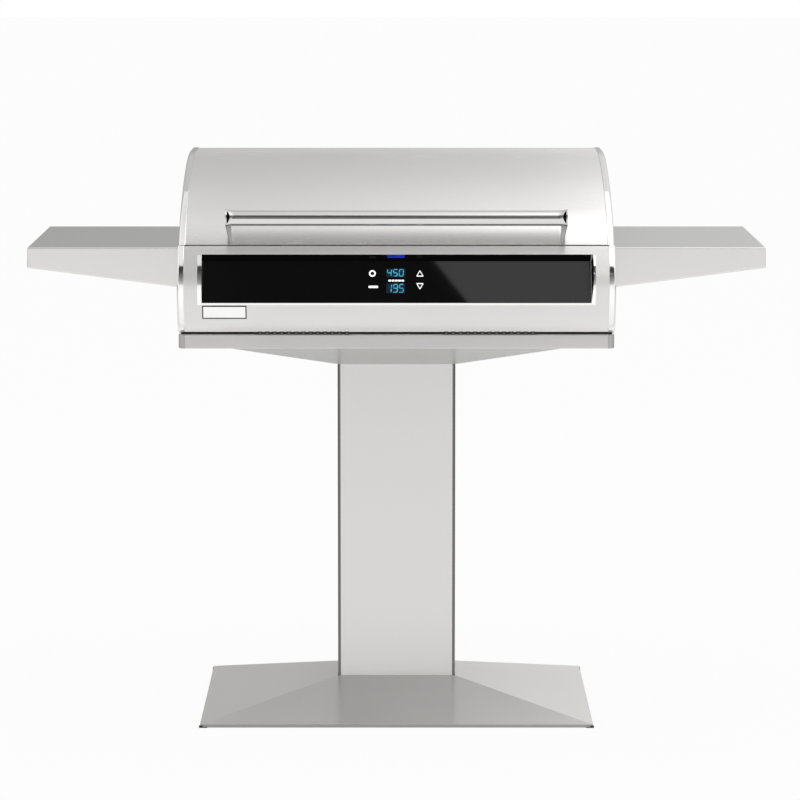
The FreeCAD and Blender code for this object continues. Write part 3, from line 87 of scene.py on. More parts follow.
# Hood
HOOD_BOTTOM_Z, HOOD_FRONT_Y, HOOD_FRONT_SLOPE, HOOD_MID_SLOPE = 0.807, -0.241, 60.0, 30.0
HOOD_FRONT_R, HOOD_TOP_R, HOOD_BACK_Y, HOOD_BACK_R = 0.150, 0.582, 0.213, 0.030
HOOD_CAP_INNER_X, HOOD_CAP_OUTER_X, HOOD_DRAFT = 0.347, 0.358, 0.8
HOOD_SHEET, HOOD_EDGE_Z, HOOD_FOOT_BACK_Y, HOOD_LAP_Z = 0.0015, 0.8057, -0.218, 0.880
HANDLE_Y, HANDLE_Z, HANDLE_R, HANDLE_WALL, HANDLE_HALF_X = -0.266, 0.8517, 0.0127, 0.0016, 0.264
TRUMPET_END_X, TRUMPET_R, TRUMPET_LIP = 0.2797, 0.0150, 0.0006
# The leg's arm: at the bar, and what it loses down to its foot, which lies just inside the skin
ARM_INNER_X, ARM_OUTER_X, ARM_HALF, ARM_FOOT_Z, ARM_BURIED = 0.2705, 0.2802, 0.0100, 0.818, 0.0003
ARM_LOSS_X, ARM_LOSS_HALF, ARM_LOSS_CURVE, ARM_INNER_R, ARM_OUTER_R = 0.0047, 0.0015, 1.3, 0.0008, 0.0024
# The black crescent on each trumpet: a thin shell that paints the shade there
CRESCENT_OUTER_X, CRESCENT_WIDTH, CRESCENT_TIP_WIDTH = 0.2774, 0.0052, 0.0002
CRESCENT_PROUD, CRESCENT_BURIED = 0.0002, 0.0006
CRESCENT_LOW_TILT, CRESCENT_HIGH_TILT = -34.0, 62.0

# Shelves
SHELF_INNER_X, SHELF_OUTER_X, SHELF_HALF_Y = 0.360, 0.610, 0.213
SHELF_TOP_Z, SHELF_OUTER_BOTTOM_Z, SHELF_INNER_BOTTOM_Z = 0.799, 0.765, 0.733
SHELF_HEM, SHELF_BEND_R = 0.014, 0.0022

# Camera, worked out from the level edges of the base, the shelves and the post
CAMERA_PLACE = (0.0, -6.6685, 1.367)
CAMERA_PITCH = 7.26
CAMERA_LENS = 176.58
CAMERA_SHIFT = (0.0044, 0.0006)


# Nodes and materials

def add_node(tree, kind, links=None, values=None, **settings):
    """Adds a node with its settings, the values of its sockets, and links from sockets or whole nodes."""
    node = tree.nodes.new(kind)
    for name, value in settings.items():
        setattr(node, name, value)
    for socket, value in (values or {}).items():
        node.inputs[socket].default_value = value
    for socket, source in (links or {}).items():
        tree.links.new(getattr(source, "outputs", [source])[0], node.inputs[socket])
    return node


def linear(hex_colour):
    """The linear colour of an sRGB hex value."""
    channels = [int(hex_colour[i:i + 2], 16) / 255 for i in (1, 3, 5)]
    return tuple(c / 12.92 if c <= 0.04045 else ((c + 0.055) / 1.055) ** 2.4 for c in channels) + (1.0,)


def new_material(name, base, roughness, metallic=0.0, **sockets):
    """A material with its Principled shader."""
    material = bpy.data.materials.new(name)
    material.use_nodes = True
    shader = material.node_tree.nodes["Principled BSDF"]
    sockets.update({"Roughness": roughness, "Metallic": metallic, "Base Color": linear(base)})
    for socket, value in sockets.items():
        shader.inputs[socket.replace("_", " ")].default_value = value
    return material, material.node_tree, shader


def on_object(tree):
    """The place on the object, in metres, that every pattern reads."""
    return add_node(tree, "ShaderNodeTexCoord").outputs["Object"]


def noise(tree, size, detail=2.0):
    """Noise whose features measure size, in metres: one measure, or one each along X, Y and Z."""
    scale = [1 / s for s in (size if isinstance(size, (tuple, list)) else (size,) * 3)]
    scaled = add_node(tree, "ShaderNodeMapping", {"Vector": on_object(tree)}, {"Scale": scale})
    grain = add_node(tree, "ShaderNodeTexNoise", {"Vector": scaled}, {"Scale": 1.0, "Detail": detail})
    return grain.outputs["Fac"]


def spread(tree, source, low, high, ends=(0.3, 0.7)):
    """The noise's middle range stretched between two values."""
    values = {"From Min": ends[0], "From Max": ends[1], "To Min": low, "To Max": high}
    return add_node(tree, "ShaderNodeMapRange", {"Value": source}, values).outputs[0]


def tinted(tree, source, dark, pale):
    """A colour between two, by a noise."""
    colours = {6: linear(dark), 7: linear(pale)}
    return add_node(tree, "ShaderNodeMix", {"Factor": source}, colours, data_type="RGBA").outputs[2]


def bump(tree, shader, source, depth):
    """Relief of a depth in metres."""
    relief = add_node(tree, "ShaderNodeBump", {"Height": source}, {"Strength": 1.0, "Distance": depth})
    tree.links.new(relief.outputs[0], shader.inputs["Normal"])


def brushed_stainless(name, along, base, roughness, anisotropic, unevenness=0.008):
    """Stainless sheet, grained with a 180 grit belt: a soft sheen drawn out across the scratches.

    The scratches lie about 0.15 mm apart, too fine to show, so they are drawn 1.2 mm apart and 90 mm long.
    along is their direction. It may lie between two axes, so that they run on over a fold.
    """
    material, tree, shader = new_material(name, base, roughness, 1.0, Anisotropic=anisotropic)
    scratches = noise(tree, [0.09 if reach else 0.0012 for reach in along], 3.0)
    handling = spread(tree, noise(tree, 0.11), roughness - 0.01, roughness + 0.01)
    belt = spread(tree, scratches, -unevenness, unevenness)
    both = add_node(tree, "ShaderNodeMath", {0: belt, 1: handling}, operation="ADD")
    tree.links.new(both.outputs[0], shader.inputs["Roughness"])
    direction = add_node(tree, "ShaderNodeCombineXYZ", values=dict(zip("XYZ", along)))
    tree.links.new(direction.outputs[0], shader.inputs["Tangent"])
    shader.inputs["Anisotropic Rotation"].default_value = 0.25
    bump(tree, shader, scratches, 0.0000015)
    return material


def finish(name, base, roughness, metallic=0.0, gloss=None, tint=None, relief=None, **sockets):
    """A material whose gloss, colour and relief vary by noise.

    Each of the three starts with the size of the noise's features, in metres, and its detail. Then gloss
    has two roughnesses, tint has two colours, which shine where the material does, and relief has a depth.
    """
    material, tree, shader = new_material(name, base, roughness, metallic, **sockets)
    if gloss:
        size, detail, low, high = gloss
        tree.links.new(spread(tree, noise(tree, size, detail), low, high), shader.inputs["Roughness"])
    if tint:
        size, detail, dark, pale, *ends = tint
        share = spread(tree, noise(tree, size, detail), 0.0, 1.0, *ends)
        coloured = "Emission Color" if "Emission_Strength" in sockets else "Base Color"
        tree.links.new(tinted(tree, share, dark, pale), shader.inputs[coloured])
    if relief:
        size, detail, depth = relief
        bump(tree, shader, noise(tree, size, detail), depth)
    return material


def galvanised_steel():
    """Hot dip galvanised steel: a dull pale grey with the patchwork of zinc crystals, about 8 mm across."""
    material, tree, shader = new_material("galvanised_steel", "#B9BCBE", 0.45, 0.85)
    cells = add_node(tree, "ShaderNodeTexVoronoi", {"Vector": on_object(tree)}, {"Scale": 1 / 0.008}).outputs
    tree.links.new(tinted(tree, cells["Color"], "#A6A9AC", "#C9CCCE"), shader.inputs["Base Color"])
    tree.links.new(spread(tree, cells["Distance"], 0.38, 0.55, (0.0, 0.6)), shader.inputs["Roughness"])
    return material


def moulded_nylon():
    """Black nylon, moulded: satin, with the fine pebble of a spark eroded mould, about 0.4 mm."""
    material, tree, shader = new_material("moulded_nylon", "#1A1A1B", 0.42)
    pebble = add_node(tree, "ShaderNodeTexVoronoi", {"Vector": on_object(tree)}, {"Scale": 1 / 0.0004})
    bump(tree, shader, pebble.outputs["Distance"], 0.00004)
    tree.links.new(spread(tree, noise(tree, 0.02), 0.36, 0.5), shader.inputs["Roughness"])
    return material


def printed_board():
    """Glass epoxy board under green solder resist: the tracks show as a paler net, 1.3 mm apart."""
    material, tree, shader = new_material("printed_board", "#1E5A3A", 0.35)
    tracks = add_node(
        tree, "ShaderNodeTexBrick", {"Vector": on_object(tree)},
        {"Color1": linear("#1E5A3A"), "Color2": linear("#1A5034"), "Mortar": linear("#4F8A5C"),
         "Scale": 1 / 0.0026, "Mortar Size": 0.05})
    tree.links.new(tracks.outputs["Color"], shader.inputs["Base Color"])
    return material


def black_glass(name, index):
    """Toughened glass, printed black behind: mirror smooth, with a gloss that follows its index."""
    return finish(name, "#030304", 0.015, gloss=(0.12, 1.0, 0.012, 0.024), IOR=index)


# Brushed sheets. They differ in how fine the belt left them and in the way it ran; their lighter and darker
# copies paint light and shade
WIDTH, HEIGHT = (1.0, 0.0, 0.0), (0.0, 0.0, 1.0)
STEEL_X = brushed_stainless("brushed_stainless_along_width", WIDTH, "#EEEDEB", 0.38, 1.0, 0.02)
# A lighter copy of the sheet for the fascia: painted light on its front
STEEL_FASCIA_LIT = brushed_stainless("brushed_stainless_fascia_painted_light", WIDTH, "#FAF9F7", 0.38, 1.0)
STEEL_HOOD = brushed_stainless("fine_brushed_stainless_hood", WIDTH, "#EEEDEB", 0.26, 0.95)
# A darker copy of the sheet for the skirt under the base: painted shade
STEEL_SKIRT_SHADE = brushed_stainless("stainless_skirt_painted_shade", WIDTH, "#B8B7B5", 0.38, 1.0)
# A darker copy for the pan's rounded corners: painted shade
STEEL_PAN_CORNER_SHADE = brushed_stainless("stainless_pan_corner_painted_shade", WIDTH, "#C6C5C3", 0.38, 1.0)
# A darker copy of the sheet for the base cover: painted shade under the body
STEEL_BASE_SHADE = brushed_stainless("brushed_stainless_base_painted_shade", WIDTH, "#E3E2E0", 0.38, 1.0)
# A darker copy of the sheet for the cradle: painted shade under the pan
STEEL_CRADLE_SHADE = brushed_stainless("brushed_stainless_cradle_painted_shade", WIDTH, "#D4D4D2", 0.38, 1.0)
# The post's sheet, darker than the shelves' same finish: painted shade under the body
STEEL_Z_SHADE = brushed_stainless("brushed_stainless_upright_painted_shade", HEIGHT, "#D4D3D1", 0.24, 0.5)
# A much darker copy for the post's rounded corners: painted shade
STEEL_EDGE_SHADE = brushed_stainless("stainless_corner_painted_shade", HEIGHT, "#747371", 0.24, 0.5)
STEEL_Y = brushed_stainless("brushed_stainless_along_depth", (0.0, 1.0, 1.0), "#E6E5E3", 0.24, 0.5)
# Buffed stainless: sharp reflections, with a faint haze left by the wheel. The tube is a little duller
MIRROR = finish("polished_stainless", "#F0F0EE", 0.065, 1.0, gloss=(0.02, 3.0, 0.045, 0.085))
BAR_STEEL = finish("polished_stainless_tube", "#D8D7D5", 0.09, 1.0, gloss=(0.02, 3.0, 0.07, 0.11))
# Investment cast stainless, blasted with glass beads: an even, soft sheen without a grain
SATIN = finish(
    "satin_cast_stainless", "#D2D1CF", 0.40, 1.0,
    gloss=(0.0009, 2.0, 0.36, 0.45), relief=(0.0009, 2.0, 0.00001))
# Cast stainless darkened to grey for the painted shade on the arms' outer sides: dull and slightly grainy
ARM_SIDE_SHADE = finish(
    "cast_stainless_arm_painted_shade", "#4E4D4C", 0.5, 0.9,
    gloss=(0.0012, 2.0, 0.44, 0.58), relief=(0.0012, 2.0, 0.00003))
# Steel darkened to a dull grey for the painted shade on the fins in the gap under the front, a little patchy
FIN_SHADE = finish("fin_steel_painted_shade", "#6B6B6C", 0.55, 0.4, tint=(0.006, 3.0, "#606061", "#7C7C7D"))
GALVANISED = galvanised_steel()
# Zinc plated fasteners: bright, a little cloudy
ZINC = finish("zinc_plated_steel", "#C4C6C8", 0.28, 1.0, gloss=(0.004, 2.0, 0.22, 0.36))
# Aluminised sheet of a firebox: matt silver with the brown haze of first heating
ALUMINISED = finish(
    "aluminised_steel", "#A9A7A3", 0.42, 1.0, gloss=(0.0015, 2.0, 0.36, 0.50),
    tint=((0.09, 0.09, 0.05), 4.0, "#8F887E", "#B2B1AE"), relief=(0.0015, 2.0, 0.00002))
# Steel rods browned by oil and heat: near black, satin, with a dry film in patches along them
GRID_STEEL = finish(
    "seasoned_grid_steel", "#3A3431", 0.42, 0.7, gloss=((0.012, 0.03, 0.012), 4.0, 0.55, 0.32),
    tint=((0.012, 0.03, 0.012), 4.0, "#2A2523", "#4C443F"), relief=(0.0012, 2.0, 0.00006))
# Nickel alloy tube, oxidised by heat: dark bronze grey, matt
SHEATH = finish("heater_sheath", "#57504B", 0.5, 0.8, tint=(0.03, 4.0, "#463F3B", "#6C635C"))
GLASS = black_glass("black_float_glass", 1.52)
COATED_GLASS = black_glass("black_coated_glass", 1.16)
# Glossy black for the crescents of painted shade on the trumpets
CRESCENT_SHADE = black_glass("black_painted_shade_crescent", 1.25)
# Light emitting diode segments behind tinted glass: cyan, in uneven patches
SEGMENTS = finish(
    "lit_segments", "#0B2A44", 0.4, tint=(0.004, 2.0, "#0C6C90", "#5CD2F2"), Emission_Strength=0.95)
# The display's diffuser: a deep navy that the segments light unevenly
BACKLIGHT = finish(
    "display_backlight", "#04070F", 0.2, tint=(0.006, 2.0, "#000B16", "#02263F"), Emission_Strength=1.0)
# The display's light on the coated strip over it: a deep blue, stronger in patches
GLOW = finish("display_glow", "#04070F", 0.2, tint=(0.005, 1.0, "#04148A", "#0C1CC0"), Emission_Strength=0.9)
# Ceramic ink fired onto glass and lit from behind: clear white, slightly uneven in cover
PRINT = finish(
    "white_print", "#F4F4F2", 0.35,
    tint=(0.0015, 2.0, "#E2E2E0", "#FFFFFF", (0.0, 1.0)), Emission_Strength=0.6)
# Etched and black filled line: matt, near black
INK = finish("black_ink", "#242424", 0.5, gloss=(0.001, 2.0, 0.42, 0.6))
NYLON = moulded_nylon()
# Black silicone seal: matt, dusty, with a dry bloom
RUBBER = finish(
    "silicone_rubber", "#161617", 0.7, tint=(0.01, 3.0, "#121213", "#232324"), relief=(0.0008, 2.0, 0.00003))
# Pressed and fired steatite insulator: off white, chalky, with small specks
STEATITE = finish("steatite", "#E6E1D6", 0.55, tint=(0.0009, 1.0, "#E6E1D6", "#A99F8D", (0.62, 0.72)))
BOARD = printed_board()


# Meshes

MERGE_DISTANCE = 1e-6


def linked(name, data):
    """A new object in the scene."""
    made = bpy.data.objects.new(name, data)
    bpy.context.scene.collection.objects.link(made)
    return made


@contextmanager
def opened(mesh):
    """The mesh in a form that can be edited, written back at the end."""
    shape = bmesh.new()
    shape.from_mesh(mesh)
    yield shape
    shape.to_mesh(mesh)
    shape.free()


def mesh_object(name, points, faces, closed=True):
    """An object from points and faces. The faces of a closed one are turned outwards."""
    mesh = bpy.data.meshes.new(name)
    mesh.from_pydata([tuple(p) for p in points], [], faces)
    with opened(mesh) as shape:
        bmesh.ops.remove_doubles(shape, verts=shape.verts, dist=MERGE_DISTANCE)
        if closed:
            bmesh.ops.recalc_face_normals(shape, faces=shape.faces)
    return linked(name, mesh)


def modifier(made, kind, **settings):
    """Adds a modifier with its settings."""
    added = made.modifiers.new(kind.lower(), kind)
    for name, value in settings.items():
        setattr(added, name, value)


def bevelled(made, width, steps, angle, **settings):
    """Rounds the edges that are sharper than an angle in degrees."""
    settings.update(width=width, segments=steps, limit_method="ANGLE", angle_limit=radians(angle))
    modifier(made, "BEVEL", **settings)


def folded(made, bend_r, thickness, bend_steps=3, angle=5.0):
    """Rounds the folds of a sheet's outer face, then gives the sheet its thickness inwards."""
    if bend_r:
        bevelled(made, bend_r, bend_steps, angle)
    modifier(made, "SOLIDIFY", thickness=thickness, offset=-1.0, use_even_offset=True)
    return made


def eased(made, width=0.0003, steps=2, angle=30.0):
    """Breaks the sharp edges of a solid piece."""
    bevelled(made, width, steps, angle, harden_normals=True)
    return made


def evaluated(made):
    """The plain mesh that an object's modifiers, or a curve's settings, make."""
    graph = bpy.context.evaluated_depsgraph_get()
    return bpy.data.meshes.new_from_object(made.evaluated_get(graph), depsgraph=graph)


def applied(made):
    """Turns what the modifiers make into the piece's own mesh."""
    mesh = evaluated(made)
    made.modifiers.clear()
    made.data = mesh
    mesh.name = made.name
    return made


def settled(made, smooth_angle=35.0):
    """Applies the modifiers and shades the piece smooth up to an angle, its flat faces staying flat."""
    applied(made)
    made.data.shade_smooth()
    made.data.set_sharp_from_angle(angle=radians(smooth_angle))
    modifier(made, "WEIGHTED_NORMAL", weight=80, keep_sharp=True)
    return applied(made)


def painted(made, choose):
    """Gives each face the place in the list of materials that choose returns for it."""
    for face in made.data.polygons:
        face.material_index = int(choose(face))
    return made


def dressed(made, materials, body, slot, *nodes):
    """Gives a finished piece its materials and its body, and hides the nodes that it stands for. Its slot is
    not used.
    """
    materials = materials if isinstance(materials, tuple) else (materials,)
    places = [face.material_index for face in made.data.polygons]
    made.data.materials.clear()
    for material in materials:
        made.data.materials.append(material)
    painted(made, lambda face: places[face.index] if places[face.index] < len(materials) else 0)
    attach(made, body)
    if nodes:
        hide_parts(*nodes)


def joined(name, parts):
    """One object from several."""
    shape = bmesh.new()
    for part in parts:
        shape.from_mesh(part.data)
        bpy.data.objects.remove(part)
    mesh = bpy.data.meshes.new(name)
    shape.to_mesh(mesh)
    shape.free()
    return linked(name, mesh)


def loft(name, rings, ends=(True, True), closed=True):
    """A skin over rings of as many points each. The ends are closed by one face."""
    count = len(rings[0])
    points = [p for ring in rings for p in ring]
    faces = []
    for a in range(0, len(points) - count, count):
        for j in range(count):
            k = (j + 1) % count
            faces.append((a + j, a + k, a + count + k, a + count + j))
    if ends[0]:
        faces.append(tuple(reversed(range(count))))
    if ends[1]:
        faces.append(tuple(range(len(points) - count, len(points))))
    return mesh_object(name, points, faces, closed)


def across(outline, x):
    """An outline in (y, z), placed at x. x may depend on the height."""
    return [(x(z) if callable(x) else x, y, z) for y, z in outline]


def between_sides(name, outline, half_x):
    """A solid that carries an outline in (y, z) from one side to the other."""
    return loft(name, [across(outline, -half_x), across(outline, half_x)])


def on_circle(centre, radius, tilt):
    """The point of a profile arc, in (y, z), where its outward normal is tilted this far above -Y."""
    angle = radians(tilt)
    return centre[0] - radius * cos(angle), centre[1] + radius * sin(angle)


def arc(centre, radius, tilt0, tilt1, steps):
    """Points of a profile arc between two tilts."""
    return [on_circle(centre, radius, tilt0 + (tilt1 - tilt0) * i / steps) for i in range(steps + 1)]


def front_arcs():
    """The centre, radius and end tilts of each arc down the front of the body."""
    arcs = []
    y, z = BODY_SEAM_Y, BODY_TOP_Z
    for i, tilt in enumerate(FRONT_TILTS[:-1]):
        sine, cosine = sin(radians(tilt)), cos(radians(tilt))
        last = i == len(FRONT_RADII)
        radius = (z - BODY_BOTTOM_Z) / (1 + sine) if last else FRONT_RADII[i]
        centre = (y + radius * cosine, z - radius * sine)
        arcs.append((centre, radius, tilt, FRONT_TILTS[i + 1]))
        y, z = on_circle(centre, radius, FRONT_TILTS[i + 1])
    return arcs


FRONT_ARCS = front_arcs()
FRONT_STEPS = (12, 30, 14, 34)


def front_line(inset, top_z):
    """The front of the body from a height down to its bottom, moved in by inset."""
    line = []
    for i, ((centre, radius, tilt0, tilt1), steps) in enumerate(zip(FRONT_ARCS, FRONT_STEPS)):
        if i == 0:
            tilt0 = degrees(asin((top_z - centre[1]) / (radius - inset)))
        line += arc(centre, radius - inset, tilt0, tilt1, steps)[0 if i == 0 else 1:]
    return line


def front_y(z, proud):
    """The Y of the front at a height, for a surface that stands proud of the outline."""
    for centre, radius, tilt0, tilt1 in FRONT_ARCS:
        if z >= on_circle(centre, radius + proud, tilt1)[1]:
            break
    return centre[0] - sqrt((radius + proud) ** 2 - (z - centre[1]) ** 2)


def body_outline(inset):
    """The side outline of the body, in (y, z), moved in by inset."""
    corner = (BODY_BACK_Y - BODY_BACK_R, BODY_BOTTOM_Z + BODY_BACK_R)
    line = front_line(inset, BODY_TOP_Z - inset)
    line += arc(corner, BODY_BACK_R - inset, 270.0, 180.0, 8)
    return line + [(BODY_BACK_Y - inset, BODY_TOP_Z - inset)]


def hood_centres():
    """The centres of the two arcs of the hood's front and top, and its height."""
    front_slope, mid_slope = radians(HOOD_FRONT_SLOPE), radians(HOOD_MID_SLOPE)
    front = (
        HOOD_FRONT_Y + HOOD_FRONT_R * sin(front_slope), HOOD_BOTTOM_Z - HOOD_FRONT_R * cos(front_slope))
    step = HOOD_TOP_R - HOOD_FRONT_R
    top = (front[0] + step * sin(mid_slope), front[1] - step * cos(mid_slope))
    return front, top, top[1] + HOOD_TOP_R


def hood_line(inset, back_z):
    """The hood from its foot in front, over the top and down its back to a height."""
    front, top, height = hood_centres()
    foot = degrees(asin((HOOD_EDGE_Z - front[1]) / (HOOD_FRONT_R - inset)))
    line = arc(front, HOOD_FRONT_R - inset, foot, 90 - HOOD_MID_SLOPE, 26)
    line += arc(top, HOOD_TOP_R - inset, 90 - HOOD_MID_SLOPE, 90, 30)[1:]
    corner = (HOOD_BACK_Y - HOOD_BACK_R, height - HOOD_BACK_R)
    line += arc(corner, HOOD_BACK_R - inset, 90, 180, 16)
    return line + [(HOOD_BACK_Y - inset, back_z)]


def end_cap(name, outline, inner_x, outer_x, lean=0.0):
    """The right-hand end of a shell: a rim with rounded edges, a flat side, and a hollow behind it."""
    rings = [(outer_x - CAP_WALL, CAP_WALL), (inner_x + CAP_LIP_R, CAP_WALL), (inner_x, CAP_WALL - CAP_LIP_R)]
    rings += [(inner_x, CAP_LIP_R), (inner_x + CAP_LIP_R / 4, CAP_LIP_R / 4), (inner_x + CAP_LIP_R, 0.0)]
    # A ring close beside each rounding keeps the flats flat in their shading
    rings += [(inner_x + 0.001, 0.0), (outer_x - CAP_EDGE_R - 0.0004, 0.0)]
    for i in range(9):
        turn = radians(90 * i / 8)
        rings.append((outer_x - CAP_EDGE_R * (1 - sin(turn)), CAP_EDGE_R * (1 - cos(turn))))
    rings.append((outer_x, CAP_EDGE_R + 0.0006))
    slope = tan(radians(lean))
    lofted = []
    for x, inset in rings:
        lofted.append(across(outline(inset), lambda z, x=x: x - (z - HOOD_BOTTOM_Z) * slope))
    return loft(name, lofted)


def flat_sides_brushed(made, outer_x):
    """The flat side of a cap takes its second material, the rim keeps the first."""
    painted(made, lambda face: abs(face.normal.x) > 0.99 and abs(abs(face.center.x) - outer_x) < CAP_EDGE_R)


def mirror_piece(made, name):
    """The same piece on the other side of the middle plane."""
    mesh = made.data.copy()
    mesh.name = name
    mesh.transform(Matrix.Diagonal((-1, 1, 1, 1)))
    mesh.flip_normals()
    return linked(name, mesh)


def both_ends(right, stem, materials, body, slot):
    """Dresses a right-hand piece and its mirrored twin. Each replaces the node of its own name."""
    left = mirror_piece(right, stem + "_shell_left")
    dressed(right, materials, body, slot, stem + "_right")
    dressed(left, materials, body, slot, stem + "_left")


# Pedestal

def rectangle(half_x, half_y, z):
    """The corners of a level rectangle, counterclockwise from above."""
    return [(-half_x, -half_y, z), (half_x, -half_y, z), (half_x, half_y, z), (-half_x, half_y, z)]


def rounded_rectangle(x0, x1, y0, y1, radius, inset=0.0, steps=8):
    """The points (x, y) of a rectangle with round corners, counterclockwise, moved in by inset."""
    low_x, high_x, low_y, high_y = x0 + radius, x1 - radius, y0 + radius, y1 - radius
    points = []
    for quarter, (x, y) in enumerate([(high_x, low_y), (high_x, high_y), (low_x, high_y), (low_x, low_y)]):
        for i in range(steps + 1):
            angle = radians(90 * (quarter - 1) + 90 * i / steps)
            points.append((x + (radius - inset) * cos(angle), y + (radius - inset) * sin(angle)))
    return points


def corners_in_painted_shade(made):
    """The rounded upright corners of a sheet take its second material, a darker copy that paints the shade on
    them.
    """
    return painted(made, lambda face: abs(face.normal.x) > 0.05 and abs(face.normal.y) > 0.05)


def base_cover():
    """The low pyramid of sheet, with a narrow skirt, that hides the floor plate."""
    rings = [
        rectangle(BASE_HALF_X, BASE_HALF_Y, SKIRT_BOTTOM_Z), rectangle(BASE_HALF_X, BASE_HALF_Y, SKIRT_TOP_Z),
        rectangle(*POST_HOLE, COVER_TOP_Z)]
    made = folded(loft("base_cover_sheet", rings, (False, False), False), FOLD_R, SHEET, bend_steps=2)
    # The skirt takes the second, darker sheet: painted shade along the foot of the base
    painted(settled(made), lambda face: face.center.z < SKIRT_TOP_Z)
    dressed(made, (STEEL_BASE_SHADE, STEEL_SKIRT_SHADE), "root", "brushed_steel_sheet", "base_cover")


def post():
    """The rectangular tube of the pedestal."""
    rings = []
    ends = (POST_BOTTOM_Z, POST_TOP_Z)
    for inset, z in [(0, z) for z in ends] + [(POST_WALL, z) for z in reversed(ends)]:
        ring = rounded_rectangle(
            -POST_HALF_X, POST_HALF_X, -POST_HALF_Y, POST_HALF_Y, POST_CORNER_R, inset, steps=10)
        rings.append([(x, y, z) for x, y in ring])
    # The post is darker than the shelves and its rounded corners darker still: painted shade
    made = corners_in_painted_shade(settled(loft("post_tube_wall", rings + rings[:1], (False, False))))
    dressed(made, (STEEL_Z_SHADE, STEEL_EDGE_SHADE), "root", "brushed_steel_sheet", "post_tube")


def cradle():
    """The shallow upturned pyramid under the pan."""
    rings = [
        rectangle(*POST_HOLE, CRADLE_BOTTOM_Z), rectangle(CRADLE_HALF_X, CRADLE_HALF_Y, PAN_BOTTOM_Z),
        rectangle(CRADLE_HALF_X - CRADLE_HEM, CRADLE_HALF_Y - CRADLE_HEM, PAN_BOTTOM_Z)]
    made = folded(loft("cradle_pyramid_sheet", rings, (False, False), False), FOLD_R, SHEET, bend_steps=2)
    # The cradle takes the darker copy of the sheet: painted shade
    dressed(settled(made), STEEL_CRADLE_SHADE, "root", "brushed_steel_sheet", "cradle_pyramid")


def in_tray_slot(place):
    """Whether a place on the pan lies in the slot for the grease tray."""
    behind = abs(place.x) < TRAY_SLOT_HALF_X and place.y > PAN_BACK_Y - 1e-4
    return behind and TRAY_SLOT_BOTTOM_Z < place.z < TRAY_SLOT_TOP_Z


def pan():
    """The shallow pan under the body, with a turned-in flange and a slot for the grease tray behind."""
    def bend(turn):
        """How far a rounded edge is in from the side and from its flat, at a turn in degrees."""
        return SHEET * (1 - sin(radians(turn))), SHEET * (1 - cos(radians(turn)))

    steps = [(3 * SHEET, PAN_BOTTOM_Z), (SHEET, PAN_BOTTOM_Z)]
    steps += [(bend(t)[0], PAN_BOTTOM_Z + bend(t)[1]) for t in (30, 60, 90)]
    steps += [(0, TRAY_SLOT_BOTTOM_Z), (0, TRAY_SLOT_TOP_Z)]
    steps += [(bend(t)[1], PAN_TOP_Z - bend(t)[0]) for t in (0, 30, 60, 90)]
    rings = []
    for inset, z in steps:
        ring = rounded_rectangle(-PAN_HALF_X, PAN_HALF_X, PAN_FRONT_Y, PAN_BACK_Y, PAN_CORNER_R, inset)
        rings.append(with_slot_points([(x, y, z) for x, y in ring]))
    flange = [
        (copysign(min(abs(x), PAN_HALF_X - PAN_FLANGE), x),
         min(max(y, PAN_FRONT_Y + PAN_FLANGE), PAN_BACK_Y - PAN_FLANGE), PAN_TOP_Z) for x, y, z in rings[-1]]
    made = loft("cradle_pan_sheet", rings + [flange], (True, False), False)
    with opened(made.data) as shape:
        slot = [face for face in shape.faces if in_tray_slot(face.calc_center_median())]
        bmesh.ops.delete(shape, geom=slot, context="FACES")
    # The pan's rounded corners take the darker sheet: painted shade
    made = corners_in_painted_shade(settled(folded(made, 0, SHEET)))
    dressed(made, (STEEL_X, STEEL_PAN_CORNER_SHADE), "root", "brushed_steel_sheet", "cradle_pan")


def with_slot_points(ring):
    """Adds the two ends of the tray slot to the back run of a ring round the pan."""
    points = []
    for point, following in zip(ring, ring[1:] + ring[:1]):
        points.append(point)
        if point[1] > 0 and point[0] > TRAY_SLOT_HALF_X and following[0] < -TRAY_SLOT_HALF_X:
            points += [(x, point[1], point[2]) for x in (TRAY_SLOT_HALF_X, -TRAY_SLOT_HALF_X)]
    return points


def shelf():
    """The right-hand shelf: one sheet folded down on all sides, deeper towards the body."""
    slope = (SHELF_OUTER_BOTTOM_Z - SHELF_INNER_BOTTOM_Z) / (SHELF_OUTER_X - SHELF_INNER_X)

    def ring(reach, bottom):
        x0, x1, half_y = SHELF_INNER_X + reach, SHELF_OUTER_X - reach, SHELF_HALF_Y - reach
        return [(x, y, SHELF_INNER_BOTTOM_Z + slope * (x - SHELF_INNER_X) if bottom else SHELF_TOP_Z)
                for x, y in ((x0, -half_y), (x1, -half_y), (x1, half_y), (x0, half_y))]

    rings = [ring(SHELF_HEM, True), ring(0.0, True), ring(0.0, False)]
    made = loft("side_shelf_shell_right", rings, (False, True), False)
    folded(made, SHELF_BEND_R, SHEET, bend_steps=4)
    both_ends(settled(made), "side_shelf", STEEL_Y, "root", "brushed_steel_sheet")


# Body

def body_ends():
    """The ends of the body: polished rims round brushed sides."""
    made = settled(end_cap("body_end_cap_shell_right", body_outline, CAP_INNER_X, CAP_OUTER_X))
    flat_sides_brushed(made, CAP_OUTER_X)
    both_ends(made, "body_end_cap", (MIRROR, STEEL_X), "root", "polished_steel")


def vent_places():
    """The X of each vent slot on the right."""
    return [VENT_FIRST_X + VENT_PITCH * i for i in range(VENT_COUNT)]


